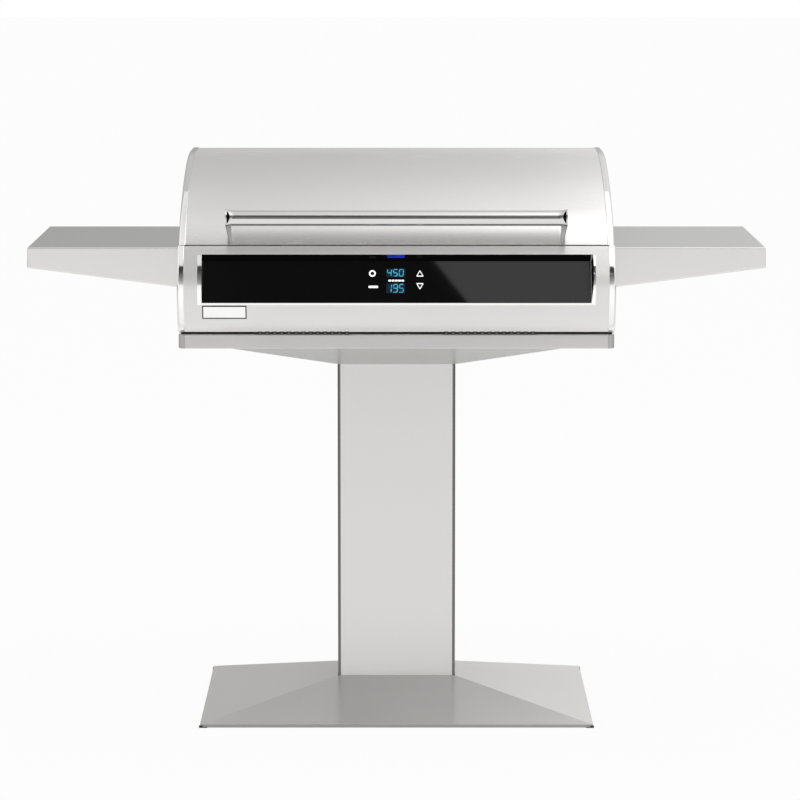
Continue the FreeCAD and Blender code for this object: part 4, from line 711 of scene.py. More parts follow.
def fascia_line():
    """The outline of the front sheet, from its upper flange down to its lower one."""
    top_z = BODY_TOP_Z - SKIN_INSET
    line = [(FLANGE_BACK_Y, top_z)] + front_line(SKIN_INSET, top_z)
    line.append((FLANGE_BACK_Y, BODY_BOTTOM_Z + SKIN_INSET))
    last_centre, last_radius = FRONT_ARCS[-1][0], FRONT_ARCS[-1][1] - SKIN_INSET
    for y in (VENT_FRONT_Y, VENT_BACK_Y):
        at = next(i for i in range(len(line) - 1, 0, -1) if line[i - 1][0] < y)
        on_arc = y < last_centre[0]
        depth = sqrt(last_radius ** 2 - (y - last_centre[0]) ** 2) if on_arc else last_radius
        line.insert(at, (y, last_centre[1] - depth))
    for z in (BEZEL_TOP_Z, BEZEL_BOTTOM_Z):
        at = next(i for i in range(2, len(line)) if line[i][1] < z)
        line.insert(at, (front_y(z, -SKIN_INSET), z))
    return line


def fascia():
    """The convex front sheet, with its window and its row of vent slots."""
    line = fascia_line()
    vents = [sx * x for sx in (-1, 1) for x in vent_places()]
    columns = {-CAP_INNER_X, CAP_INNER_X, -BEZEL_HALF_X, BEZEL_HALF_X}
    columns = sorted(columns | {x + dx for x in vents for dx in (-VENT_HALF_X, VENT_HALF_X)})

    def is_open(x, y, z):
        in_window = abs(x) < BEZEL_HALF_X and BEZEL_BOTTOM_Z < z < BEZEL_TOP_Z
        in_slot = VENT_FRONT_Y < y < VENT_BACK_Y and any(abs(x - vent) < VENT_HALF_X for vent in vents)
        return in_window or (in_slot and z < BEZEL_BOTTOM_Z)

    faces = []
    for i, ((y0, z0), (y1, z1)) in enumerate(zip(line, line[1:])):
        for j, (x0, x1) in enumerate(zip(columns, columns[1:])):
            if not is_open((x0 + x1) / 2, (y0 + y1) / 2, (z0 + z1) / 2):
                a = i * len(columns) + j
                b = a + len(columns)
                faces.append((a, b, b + 1, a + 1))
    made = mesh_object("fascia_sheet", [(x, y, z) for y, z in line for x in columns], faces, False)
    folded(made, FOLD_R, BODY_SHEET, angle=20.0)
    # The fascia takes the lighter copy of the sheet: painted light
    dressed(settled(made), STEEL_FASCIA_LIT, "root", "brushed_steel_sheet", "fascia")


def front_patch(name, x, z, proud, thickness):
    """A thin plate that follows the curve of the front, and stands proud of its sheet."""
    heights = [z[1] - (z[1] - z[0]) * i / 10 for i in range(11)]
    outer = [(front_y(height, proud - SKIN_INSET), height) for height in heights]
    inner = [(front_y(height, proud - SKIN_INSET - thickness), height) for height in reversed(heights)]
    return loft(name, [across(outer + inner, x[0]), across(outer + inner, x[1])])


def nameplate():
    """A bare bright plate inside a dark line."""
    border = front_patch("nameplate_border", PLATE_X, PLATE_Z, proud=PLATE_PROUD, thickness=0.0005)
    x, z = [(low + PLATE_BORDER, high - PLATE_BORDER) for low, high in (PLATE_X, PLATE_Z)]
    face = front_patch("nameplate_face", x, z, proud=PLATE_PROUD + 0.0001, thickness=0.0004)
    dressed(settled(eased(border, 0.0001)), INK, "root", "polished_steel", "nameplate")
    dressed(settled(eased(face, 0.0001)), MIRROR, "root", "polished_steel")


def bezel():
    """The polished frame round the glass: two stiles and two rails in one piece."""
    heights = [BEZEL_TOP_Z - (BEZEL_TOP_Z - BEZEL_BOTTOM_Z) * i / 60 for i in range(61)]
    outline = [(front_y(z, BEZEL_PROUD), z) for z in heights]
    outline += [(BEZEL_BACK_Y, BEZEL_BOTTOM_Z), (BEZEL_BACK_Y, BEZEL_TOP_Z)]
    made = between_sides("glass_bezel_frame", outline, BEZEL_HALF_X)
    front_top, back_top, back_foot = head_strip_corners()[1:]
    # How far the cutters reach past what they cut, at the back and foot and at the sides
    past, past_sides, clearance = 0.001, 0.05, 0.0001
    past_back_y = BEZEL_BACK_Y + past
    opening = [
        (BEZEL_CUT_Y, GLASS_BOTTOM_Z), (BEZEL_CUT_Y, HEAD_STRIP_TOP_Z), front_top, back_top, back_foot,
        (past_back_y, back_foot[1]), (past_back_y, GLASS_BOTTOM_Z)]
    sill = [
        (BEZEL_SILL_BACK_Y, BEZEL_BOTTOM_Z - past), (BEZEL_SILL_BACK_Y, GLASS_BOTTOM_Z + clearance),
        (past_back_y, GLASS_BOTTOM_Z + clearance), (past_back_y, BEZEL_BOTTOM_Z - past)]
    cutters = [
        between_sides("cutter", opening, GLASS_HALF_X),
        between_sides("cutter", sill, BEZEL_HALF_X + past_sides), stile_cutter(front_top)]
    for cutter in cutters:
        modifier(made, "BOOLEAN", operation="DIFFERENCE", solver="EXACT", object=cutter)
    settled(eased(made))
    for cutter in cutters:
        bpy.data.objects.remove(cutter)
    # The faces over the head strip take the fascia's lighter sheet, painted light
    painted(made, lambda face: face.center.z > HEAD_STRIP_TOP_Z - 0.0005)
    dressed(made, (MIRROR, STEEL_FASCIA_LIT), "root", "polished_steel", "glass_bezel")


def stile_cutter(front_top):
    """What the leaning inner side of the right stile leaves free in front of the glass."""
    outline = [
        (GLASS_BOTTOM_Y, GLASS_BOTTOM_Z), (BEZEL_CUT_Y, GLASS_BOTTOM_Z), (BEZEL_CUT_Y, HEAD_STRIP_TOP_Z),
        front_top, (GLASS_TOP_Y, GLASS_TOP_Z)]
    right = []
    for y, z in outline:
        before = GLASS_OUT.dot(Vector((0, y - GLASS_BOTTOM_Y, z - GLASS_BOTTOM_Z)))
        right.append((GLASS_HALF_X + 0.0002 + STILE_LEAN * before, y, z))
    return loft("cutter", [across(outline, GLASS_HALF_X - 0.02), right])


def head_strip_corners():
    """The four corners, in (y, z), of the black strip that overhangs the glass."""
    front = [(GLASS_TOP_Y, GLASS_TOP_Z), (HEAD_STRIP_TOP_Y, HEAD_STRIP_TOP_Z)]
    run_y, run_z = HEAD_STRIP_TOP_Y - GLASS_TOP_Y, HEAD_STRIP_TOP_Z - GLASS_TOP_Z
    length = hypot(run_y, run_z)
    back_y, back_z = HEAD_STRIP_THICKNESS * run_z / length, -HEAD_STRIP_THICKNESS * run_y / length
    return front + [(y + back_y, z + back_z) for y, z in reversed(front)]


def head_strip():
    """The black strip that overhangs the glass."""
    made = between_sides("glass_head_strip_face", list(reversed(head_strip_corners())), GLASS_HALF_X)
    dressed(settled(eased(made)), COATED_GLASS, "root", "black_glass", "glass_head_strip")


GLASS_UP = Vector((0, GLASS_TOP_Y - GLASS_BOTTOM_Y, GLASS_TOP_Z - GLASS_BOTTOM_Z)).normalized()
GLASS_OUT = Vector((0, -GLASS_UP.z, GLASS_UP.y))


def on_glass(x, up, out):
    """A point by its distance across the glass, up it and out of it."""
    return Vector((x, GLASS_BOTTOM_Y, GLASS_BOTTOM_Z)) + GLASS_UP * up + GLASS_OUT * out


def glass_plate(name, outline, depth0, depth1):
    """A flat piece on the glass, from an outline in (x, up) and two depths out of the glass."""
    return loft(name, [[on_glass(x, up, depth) for x, up in outline] for depth in (depth0, depth1)])


def glass():
    """The touch panel's pane."""
    length = hypot(GLASS_TOP_Y - GLASS_BOTTOM_Y, GLASS_TOP_Z - GLASS_BOTTOM_Z)
    outline = [(-GLASS_HALF_X, 0), (GLASS_HALF_X, 0), (GLASS_HALF_X, length), (-GLASS_HALF_X, length)]
    made = glass_plate("control_glass_pane", outline, -GLASS_THICKNESS, 0)
    dressed(settled(eased(made, 0.0004, steps=3)), GLASS, "root", "black_glass", "control_glass")


# The display's marks, in metres across and up the glass
FIGURE_ROWS = (("450", 0.0463, 0.0114), ("195", 0.0186, 0.0135))
DIGIT_LEFT, DIGIT_WIDTH, DIGIT_STROKE, DIGIT_PITCH, DIGIT_LEAN = -0.0153, 0.0064, 0.0016, 0.0098, 0.08
FIELD_LEFT, FIELD_RIGHT, FIELD_ROWS = -0.0166, 0.0142, ((0.0448, 0.0590), (0.0170, 0.0335))
RING_X, RING_UP, RING_OUTER_R, RING_INNER_R = -0.0396, 0.0508, 0.0057, 0.0031
DASH_LEFT, DASH_RIGHT, DASH_UP, DASH_HEIGHT = -0.0460, -0.0303, 0.0278, 0.0040
BLOCK_COUNT, BLOCK_LEFT, BLOCK_PITCH, BLOCK_WIDTH = 5, -0.0132, 0.0053, 0.0045
BLOCK_UP, BLOCK_HEIGHT = 0.0385, 0.0032
ARROW_X, ARROW_UPS, ARROW_RISE, ARROW_HALF, ARROW_CUT = 0.0385, (0.0512, 0.0285), 0.0115, 0.0064, 0.0013
HOLE_RISE_SHARE, HOLE_SHIFT_SHARE, HOLE_HALF, HOLE_CUT = 0.6, 0.05, 0.0041, 0.0006
GLOW_LEFT, GLOW_RIGHT, GLOW_SHARES, GLOW_PROUD = -0.0155, 0.0135, (0.48, 0.97), 0.00008
FIELD_DEPTH, FIGURE_FOOT, MARK_DEPTH = 0.00004, 0.00005, 0.00015
SEGMENTS_OF = {
    "0": "abcdef", "1": "bc", "2": "abged", "3": "abgcd", "4": "fgbc", "5": "afgcd", "6": "afgedc",
    "7": "abc", "8": "abcdefg", "9": "abcdfg"}


def bar(x0, up0, x1, up1, width):
    """A stroke with pointed ends between two points."""
    start, end = Vector((x0, up0)), Vector((x1, up1))
    along = (end - start).normalized() * width / 2
    side = Vector((-along.y, along.x))
    return [tuple(p) for p in (
        start, start + along - side, end - along - side, end, end - along + side, start + along + side)]


def digit_strokes(figure, left, bottom, height):
    """The strokes of one seven segment figure, leaning a little to the right."""
    right, top, middle, gap = left + DIGIT_WIDTH, bottom + height, bottom + height / 2, DIGIT_STROKE * 0.12
    runs = {
        "a": (left, top, right, top), "g": (left, middle, right, middle), "d": (left, bottom, right, bottom),
        "f": (left, middle, left, top), "b": (right, middle, right, top),
        "e": (left, bottom, left, middle), "c": (right, bottom, right, middle)}
    strokes = []
    for name in SEGMENTS_OF[figure]:
        x0, up0, x1, up1 = runs[name]
        gap_x, gap_up = (gap, 0.0) if up0 == up1 else (0.0, gap)
        stroke = bar(x0 + gap_x, up0 + gap_up, x1 - gap_x, up1 - gap_up, DIGIT_STROKE)
        strokes.append([(x + (up - bottom) * DIGIT_LEAN, up) for x, up in stroke])
    return strokes


def circle(x, up, radius, steps=32):
    """The points of a circle."""
    turns = [2 * pi * i / steps for i in range(steps)]
    return [(x + radius * cos(t), up + radius * sin(t)) for t in turns]


def hollow_mark(name, outer, inner):
    """A closed band between two outlines of as many points."""
    rings = []
    for outline, depth in ((outer, 0), (outer, MARK_DEPTH), (inner, MARK_DEPTH), (inner, 0), (outer, 0)):
        rings.append([on_glass(x, up, depth) for x, up in outline])
    return loft(name, rings, (False, False))


def triangle(x, up, half, rise, corner_cut):
    """A triangle with clipped corners, pointing along rise."""
    tips = [Vector((x - half, up - rise / 2)), Vector((x + half, up - rise / 2)), Vector((x, up + rise / 2))]
    points = []
    for i, tip in enumerate(tips):
        for other in (tips[i - 1], tips[(i + 1) % 3]):
            points.append(tuple(tip + (other - tip).normalized() * corner_cut))
    return points


def glass_pieces(name, outlines, depth0, depth1, material):
    """One piece on the glass from several outlines."""
    plates = [glass_plate("plate", outline, depth0, depth1) for outline in outlines]
    dressed(settled(joined(name, plates)), material, "root", "black_glass")


def display():
    """Two rows of plain figures, each on its dim field."""
    strokes = []
    for text, bottom, height in FIGURE_ROWS:
        for i, figure in enumerate(text):
            strokes += digit_strokes(figure, DIGIT_LEFT + DIGIT_PITCH * i, bottom, height)
    glass_pieces("display_figures", strokes, FIGURE_FOOT, MARK_DEPTH, SEGMENTS)
    fields = [[(FIELD_LEFT, low), (FIELD_RIGHT, low), (FIELD_RIGHT, high), (FIELD_LEFT, high)]
              for low, high in FIELD_ROWS]
    glass_pieces("display_fields", fields, 0.0, FIELD_DEPTH, BACKLIGHT)


def touch_marks():
    """The white marks beside the figures: a ring, a dash, a row of blocks and two arrows."""
    ring = [circle(RING_X, RING_UP, radius) for radius in (RING_OUTER_R, RING_INNER_R)]
    marks = [hollow_mark("ring", *ring)]
    bars = [(DASH_LEFT, DASH_RIGHT, DASH_UP, DASH_HEIGHT)]
    for left in [BLOCK_LEFT + BLOCK_PITCH * i for i in range(BLOCK_COUNT)]:
        bars.append((left, left + BLOCK_WIDTH, BLOCK_UP, BLOCK_HEIGHT))
    for left, right, up, height in bars:
        outline = rounded_rectangle(left, right, up - height / 2, up + height / 2, height * 0.3, steps=4)
        marks.append(glass_plate("bar", outline, 0, MARK_DEPTH))
    for up, rise in zip(ARROW_UPS, (ARROW_RISE, -ARROW_RISE)):
        outer = triangle(ARROW_X, up, ARROW_HALF, rise, ARROW_CUT)
        hole = triangle(ARROW_X, up - rise * HOLE_SHIFT_SHARE, HOLE_HALF, rise * HOLE_RISE_SHARE, HOLE_CUT)
        marks.append(hollow_mark("arrow", outer, hole))
    dressed(settled(joined("touch_marks", marks)), PRINT, "root", "black_glass")


def display_light():
    """The display's light on the strip above it, over the upper part of the strip's face."""
    foot, top = [Vector((0, y, z)) for y, z in head_strip_corners()[:2]]
    out = Vector((0, foot.z - top.z, top.y - foot.y)).normalized() * GLOW_PROUD
    low, high = [foot.lerp(top, share) for share in GLOW_SHARES]
    corners = [(GLOW_LEFT, low), (GLOW_RIGHT, low), (GLOW_RIGHT, high), (GLOW_LEFT, high)]
    sheets = [[(x, place.y + d.y, place.z + d.z) for x, place in corners] for d in (-out, out)]
    dressed(settled(loft("display_glow_patch", sheets)), GLOW, "root", "black_glass")


# Hood

def hood_lean(x):
    """The place of a hood end, which leans in with height."""
    slope = tan(radians(HOOD_DRAFT))
    return lambda z: x - copysign((z - HOOD_BOTTOM_Z) * slope, x)


def hood_outline(inset):
    """The side outline of the hood, counterclockwise from the right."""
    return list(reversed(hood_line(inset, HOOD_EDGE_Z)))


def hood_ends():
    """The ends of the hood: polished rims round brushed sides."""
    made = end_cap(
        "hood_end_cap_shell_right", hood_outline, HOOD_CAP_INNER_X, HOOD_CAP_OUTER_X, HOOD_DRAFT)
    flat_sides_brushed(settled(made), HOOD_CAP_OUTER_X)
    both_ends(made, "hood_end_cap", (MIRROR, STEEL_HOOD), "hood", "polished_steel")


def hood_skin():
    """The brushed skin over the front and top, turned in at its foot and lapped over the back."""
    outer = list(reversed(hood_line(SKIN_INSET, HOOD_LAP_Z)))
    inner = hood_line(SKIN_INSET + HOOD_SHEET, HOOD_LAP_Z)
    fold_z = HOOD_EDGE_Z + HOOD_SHEET
    section = outer + [(HOOD_FOOT_BACK_Y, HOOD_EDGE_Z), (HOOD_FOOT_BACK_Y, fold_z), (inner[0][0], fold_z)]
    section += [p for p in inner if p[1] > fold_z + 0.0005 or p[0] > 0]
    rings = [across(section, hood_lean(-HOOD_CAP_INNER_X)), across(section, hood_lean(HOOD_CAP_INNER_X))]
    made = eased(loft("hood_skin_sheet", rings), 0.0004)
    dressed(settled(made), STEEL_HOOD, "hood", "brushed_steel_sheet", "hood_skin")


def lathe(name, profile, y, z, steps=96):
    """A profile in (x, radius), turned about a line along X."""
    rings = [[(x, y + side, z + up) for up, side in circle(0.0, 0.0, radius, steps)] for x, radius in profile]
    return loft(name, rings, (False, False))


def handle():
    """The polished bar, a tube held between the two cast legs."""
    profile = [(x, HANDLE_R) for x in (-HANDLE_HALF_X, HANDLE_HALF_X)]
    profile += [(x, HANDLE_R - HANDLE_WALL) for x in (HANDLE_HALF_X, -HANDLE_HALF_X)]
    made = lathe("handle_bar_tube", profile + profile[:1], HANDLE_Y, HANDLE_Z)
    dressed(settled(made), BAR_STEEL, "hood", "polished_steel", "handle_bar")


def trumpet_r(x):
    """The radius of a leg's trumpet end, which grows ever faster out to its lip."""
    share = max(0.0, (x - HANDLE_HALF_X) / (TRUMPET_END_X - HANDLE_HALF_X))
    return HANDLE_R + (TRUMPET_R - HANDLE_R) * share ** 2


def leg_arm():
    """The tapering arm from the trumpet down to the hood's skin, rounded most on its outer edges."""
    centre = Vector(hood_centres()[0])
    skin_r = HOOD_FRONT_R - SKIN_INSET - ARM_BURIED
    start = Vector((HANDLE_Y, HANDLE_Z))
    foot_tilt = degrees(asin((ARM_FOOT_Z - centre.y) / skin_r))
    along = (Vector(on_circle(centre, skin_r, foot_tilt)) - start).normalized()
    side = Vector((-along.y, along.x))
    inner_x = ARM_INNER_X + ARM_INNER_R
    rings = []
    for share in [i / 10 for i in range(11)]:
        outer_x = ARM_OUTER_X - ARM_LOSS_X * share ** ARM_LOSS_CURVE - ARM_OUTER_R
        half = ARM_HALF - ARM_LOSS_HALF * share
        ring = []
        for x, sign, radius, turn in (
                (inner_x, 1, ARM_INNER_R, 90), (inner_x, -1, ARM_INNER_R, 180),
                (outer_x, -1, ARM_OUTER_R, 270), (outer_x, 1, ARM_OUTER_R, 0)):
            for angle in [radians(turn + 22.5 * j) for j in range(5)]:
                base = start + side * (sign * (half - radius) + radius * sin(angle))
                # Where a line along the arm meets the skin
                gap = base - centre
                reach = -gap.dot(along) - sqrt(gap.dot(along) ** 2 - gap.dot(gap) + skin_r ** 2)
                point = base + along * (reach * share)
                ring.append((x + radius * cos(angle), point.x, point.y))
        rings.append(ring)
    return loft("arm", rings)


def handle_legs():
    """The two cast legs: polished trumpet ends with a black crescent of painted shade, on satin arms whose
    outer sides are painted with shade.
    """
    lip_x = TRUMPET_END_X - TRUMPET_LIP
    profile = [(HANDLE_HALF_X, 0.0)]
    for i in range(25):
        x = HANDLE_HALF_X + (lip_x - HANDLE_HALF_X) * i / 24
        profile.append((x, trumpet_r(x)))
    for angle in [radians(22.5 * i) for i in range(1, 5)]:
        profile.append((lip_x + TRUMPET_LIP * sin(angle), trumpet_r(x) - TRUMPET_LIP * (1 - cos(angle))))
    profile.append((TRUMPET_END_X, 0.0))
    trumpet = painted(settled(lathe("trumpet", profile, HANDLE_Y, HANDLE_Z)), lambda face: 1)
    # The faces of the arm that look outwards take the darker grey: painted shade
    arm = painted(settled(leg_arm()), lambda face: 2 if face.normal.x > 0.25 else 0)
    legs = settled(joined("handle_leg_shell_right", [arm, trumpet]))
    both_ends(legs, "handle_leg", (SATIN, BAR_STEEL, ARM_SIDE_SHADE), "hood", "polished_steel")
    shade_crescent = settled(leg_shade_crescent())
    for piece in (mirror_piece(shade_crescent, "handle_shade_crescent_left"), shade_crescent):
        dressed(piece, CRESCENT_SHADE, "hood", "black_plastic")


def leg_shade_crescent():
    """A black crescent on the front of a trumpet, painted shade: straight on its outer side, bowed on its
    inner one.
    """
    rings = []
    for share in [i / 8 - 1 for i in range(17)]:
        tilt = radians(
            (CRESCENT_LOW_TILT + CRESCENT_HIGH_TILT) / 2 + (CRESCENT_HIGH_TILT - CRESCENT_LOW_TILT) / 2 * share)
        reach = CRESCENT_TIP_WIDTH + CRESCENT_WIDTH * (1 - share ** 2)
        ring = []
        for depth, columns in ((CRESCENT_PROUD, range(7)), (-CRESCENT_BURIED, range(6, -1, -1))):
            for x in [CRESCENT_OUTER_X - reach * column / 6 for column in columns]:
                radius = trumpet_r(x) + depth
                ring.append((x, HANDLE_Y - radius * cos(tilt), HANDLE_Z + radius * sin(tilt)))
        rings.append(ring)
    return loft("handle_shade_crescent_right", rings)


# Rows of bars and sets of screws, made by geometry nodes

def node_tree(name, **inputs):
    """An empty geometry node tree with named inputs, and their sockets."""
    tree = bpy.data.node_groups.new(name, "GeometryNodeTree")
    for label, kind in inputs.items():
        tree.interface.new_socket(label, in_out="INPUT", socket_type="NodeSocket" + kind)
    tree.interface.new_socket("Geometry", in_out="OUTPUT", socket_type="NodeSocketGeometry")
    return tree, add_node(tree, "NodeGroupInput").outputs


def scattered(tree, points, shape, material, **links):
    """Ends a tree: a shape at each point, made real and given its material."""
    copies = add_node(tree, "GeometryNodeInstanceOnPoints", {"Points": points, "Instance": shape, **links})
    real = add_node(tree, "GeometryNodeRealizeInstances", {"Geometry": copies})
    coated = add_node(tree, "GeometryNodeSetMaterial", {"Geometry": real, "Material": material})
    add_node(tree, "NodeGroupOutput", {"Geometry": coated})
    return tree


def bar_row_tree():
    """A row of straight bars of rounded rectangular section, each from a start along a run."""
    tree, given = node_tree(
        "bar_row", Geometry="Geometry", Count="Int", First="Vector", Step="Vector", Run="Vector",
        Width="Float", Depth="Float", Corner="Float", Material="Material")
    points = add_node(
        tree, "GeometryNodeMeshLine",
        {"Count": given["Count"], "Start Location": given["First"], "Offset": given["Step"]})
    run = add_node(tree, "GeometryNodeCurvePrimitiveLine", {"End": given["Run"]})
    section = add_node(
        tree, "GeometryNodeCurvePrimitiveQuadrilateral", {"Width": given["Width"], "Height": given["Depth"]})
    rounded = add_node(
        tree, "GeometryNodeFilletCurve", {"Curve": section, "Radius": given["Corner"]},
        {"Count": 4, "Limit Radius": True}, mode="POLY")
    solid = add_node(
        tree, "GeometryNodeCurveToMesh", {"Curve": run, "Profile Curve": rounded}, {"Fill Caps": True})
    return scattered(tree, points, solid, given["Material"])


def screw_set_tree():
    """A low round head with a hex socket at each given point, turned to face one way."""
    tree, given = node_tree(
        "screw_set", Geometry="Geometry", Radius="Float", Height="Float", Socket="Float", Facing="Rotation",
        Material="Material")
    head, socket = [
        add_node(
            tree, "GeometryNodeMeshCylinder", {"Radius": given[radius], "Depth": given["Height"]},
            {"Vertices": sides})
        for radius, sides in (("Radius", 24), ("Socket", 6))]
    half = add_node(tree, "ShaderNodeMath", {0: given["Height"]}, {1: 0.5}, operation="MULTIPLY")
    rise = add_node(tree, "ShaderNodeCombineXYZ", {"Z": half})
    raised = add_node(tree, "GeometryNodeTransform", {"Geometry": socket, "Translation": rise})
    cut = add_node(
        tree, "GeometryNodeMeshBoolean", {"Mesh 1": head, "Mesh 2": raised}, operation="DIFFERENCE")
    seated = add_node(tree, "GeometryNodeTransform", {"Geometry": cut, "Translation": rise})
    return scattered(tree, given["Geometry"], seated, given["Material"], Rotation=given["Facing"])


def grown(name, tree, inputs, points=((0, 0, 0),)):
    """An object whose mesh a node tree makes from named inputs, and from points."""
    made = mesh_object(name, points, [], False)
    added = made.modifiers.new(tree.name, "NODES")
    added.node_group = tree
    for item in tree.interface.items_tree:
        if item.name in inputs:
            added[item.identifier] = inputs[item.name]
    return made


BAR_ROW = bar_row_tree()
SCREW_SET = screw_set_tree()


def bar_row(name, count, first, step, run, width, depth, corner, material):
    """A row of bars of one section."""
    return grown(name, BAR_ROW, {
        "Count": count, "First": first, "Step": step, "Run": run, "Width": width, "Depth": depth,
        "Corner": corner, "Material": material})


def cooking_grids():
    """Round rods across three bars, one grid on each side."""
    weld_depth, rod_overhang, bar_overhang = 0.001, 0.005, 0.003
    rod_z = GRID_BAR_Z + GRID_BAR_R + GRID_ROD_R - weld_depth
    last_x = GRID_FIRST_X + GRID_PITCH * (GRID_ROD_COUNT - 1)
    depth = GRID_BACK_Y - GRID_FRONT_Y
    for side, sign in (("left", -1), ("right", 1)):
        rods = bar_row(
            "rods", GRID_ROD_COUNT, (sign * GRID_FIRST_X, GRID_FRONT_Y - rod_overhang, rod_z),
            (sign * GRID_PITCH, 0, 0), (0, depth + 2 * rod_overhang, 0),
            2 * GRID_ROD_R, 2 * GRID_ROD_R, GRID_ROD_R, GRID_STEEL)
        bars = bar_row(
            "bars", 3, (min(sign * GRID_FIRST_X, sign * last_x) - bar_overhang, GRID_FRONT_Y, GRID_BAR_Z),
            (0, depth / 2, 0), (last_x - GRID_FIRST_X + 2 * bar_overhang, 0, 0),
            2 * GRID_BAR_R, 2 * GRID_BAR_R, GRID_BAR_R, GRID_STEEL)
        parts = [settled(eased(part, 0.0004, angle=60)) for part in (rods, bars)]
        made = joined("cooking_grid_rods_" + side, parts)
        dressed(settled(made), GRID_STEEL, "root", "cast_cooking_grid", "cooking_grid_" + side)


def louvres():
    """The strips of small fins whose tips hang in the gap under the front. The fins are dark grey and the
    strips black, painted shade in the gap.
    """
    fins, strips = [], []
    for sign in (-1, 1):
        fins.append(applied(bar_row(
            "fins", VENT_COUNT, (sign * VENT_FIRST_X, (FIN_FRONT_Y + FIN_BACK_Y) / 2, FIN_FOOT_Z),
            (sign * VENT_PITCH, 0, 0), (0, 0, FIN_TOP_Z - FIN_FOOT_Z),
            FIN_BACK_Y - FIN_FRONT_Y, 2 * FIN_HALF_X, FIN_CORNER_R, FIN_SHADE)))
        strips.append(applied(bar_row(
            "strip", 1, (sign * (VENT_FIRST_X - FIN_STRIP_OVERHANG), FIN_STRIP_Y, FIN_STRIP_Z), (0, 0, 0),
            (sign * (VENT_LAST_X - VENT_FIRST_X + 2 * FIN_STRIP_OVERHANG), 0, 0),
            *FIN_STRIP_SECTION, FIN_CORNER_R, NYLON)))
    # The fins take the dark grey and the strips black nylon: painted shade in the gap
    dressed(
        settled(joined("vent_louvre_fins_painted_shade", fins)), FIN_SHADE, "root", "brushed_steel_sheet", "vent_louvres")
    dressed(settled(joined("vent_louvre_strips_painted_shade", strips)), NYLON, "root", "black_plastic")


def screws(name, xs, y, z, radius, height, socket_r, body, node):
    """Round heads with hex sockets, which face the rear."""
    facing = Vector((0, 0, 1)).rotation_difference(Vector((0, 1, 0))).to_euler()
    inputs = {"Radius": radius, "Height": height, "Socket": socket_r, "Facing": facing, "Material": ZINC}
    made = grown(name, SCREW_SET, inputs, [(x, y, z) for x in xs])
    dressed(settled(eased(made, height * 0.3, steps=3, angle=40)), ZINC, body, "plain_steel", node)


def element():
    """One tube bent to and fro, whose two ends leave through the front wall."""
    pitch = 2 * ELEMENT_HALF_X / (ELEMENT_PASSES - 1)
    line = []
    for i in range(ELEMENT_PASSES):
        x = -ELEMENT_HALF_X + pitch * i
        ends = [ELEMENT_FRONT_Y if 0 < i < ELEMENT_PASSES - 1 else ELEMENT_END_Y, ELEMENT_BACK_Y]
        if i % 2:
            ends.reverse()
        line += [(x, y, ELEMENT_Z, 1.0) for y in ends]
        if i < ELEMENT_PASSES - 1:
            outward = pitch / 2 * (-1) ** i
            for angle in [pi * step / 8 for step in range(1, 8)]:
                line.append(
                    (x + pitch / 2 * (1 - cos(angle)), ends[1] + outward * sin(angle), ELEMENT_Z, 1.0))
    curve = bpy.data.curves.new("element_path", "CURVE")
    curve.dimensions = "3D"
    curve.bevel_depth, curve.bevel_resolution, curve.use_fill_caps = ELEMENT_R, 3, True
    spline = curve.splines.new("POLY")
    spline.points.add(len(line) - 1)
    for point, place in zip(spline.points, line):
        point.co = place
    tube = linked("element_path", curve)
    made = linked("heating_element_tube", evaluated(tube))
    bpy.data.objects.remove(tube)
    dressed(settled(made, smooth_angle=60), SHEATH, "root", "heated_tube", "heating_element")


def eased_copy(node, materials, body, slot, width=0.0003):
    """A copy of a flat sided CAD piece whose sharp edges are broken."""
    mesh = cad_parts[node].data.copy()
    with opened(mesh) as shape:
        bmesh.ops.remove_doubles(shape, verts=shape.verts, dist=MERGE_DISTANCE)
        bmesh.ops.dissolve_limit(shape, angle_limit=radians(0.5), verts=shape.verts, edges=shape.edges)
    dressed(settled(eased(linked(node + "_part", mesh), width, angle=40)), materials, body, slot, node)


def repaint(material, *nodes):
    """A CAD node whose shape is right takes a finished material."""
    for node in nodes:
        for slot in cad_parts[node].material_slots:
            slot.material = material


# Stage

def ramp(value, stops):
    """A value read from a list of (place, level) pairs, level beyond its ends."""
    if value <= stops[0][0]:
        return stops[0][1]
    for (place0, level0), (place1, level1) in zip(stops, stops[1:]):
        if value <= place1:
            return level0 + (level1 - level0) * (value - place0) / (place1 - place0)
    return stops[-1][1]


def card(name, xs, ys, zs, shade, steps=60):
    """A studio card that only metal and glass see.

    xs, ys and zs place its four corners, one number where they agree. shade gives its brightness at x, y, z.
    """
    places = [v if isinstance(v, tuple) else (v,) * 4 for v in (xs, ys, zs)]
    a, b, c, d = [Vector(corner) for corner in zip(*places)]
    shares = [i / steps for i in range(steps + 1)]
    points = [a.lerp(b, u).lerp(d.lerp(c, u), v) for v in shares for u in shares]
    row = steps + 1
    faces = [(k, k + 1, k + row + 1, k + row) for j in range(steps) for k in range(j * row, j * row + steps)]
    mesh = bpy.data.meshes.new(name)
    mesh.from_pydata([tuple(p) for p in points], [], faces)
    attribute = mesh.color_attributes.new("shade", "FLOAT_COLOR", "POINT")
    for item, point in zip(attribute.data, points):
        item.color = (*[shade(*point)] * 3, 1.0)
    material = bpy.data.materials.new(name)
    material.use_nodes = True
    tree = material.node_tree
    tree.nodes.clear()
    level = add_node(tree, "ShaderNodeAttribute", attribute_name="shade").outputs["Color"]
    glow = add_node(tree, "ShaderNodeEmission", {"Color": level}, {"Strength": 1.0})
    add_node(tree, "ShaderNodeOutputMaterial", {"Surface": glow})
    mesh.materials.append(material)
    made = linked(name, mesh)
    made.visible_camera = made.visible_diffuse = made.visible_shadow = False
    made.visible_transmission = made.visible_volume_scatter = False


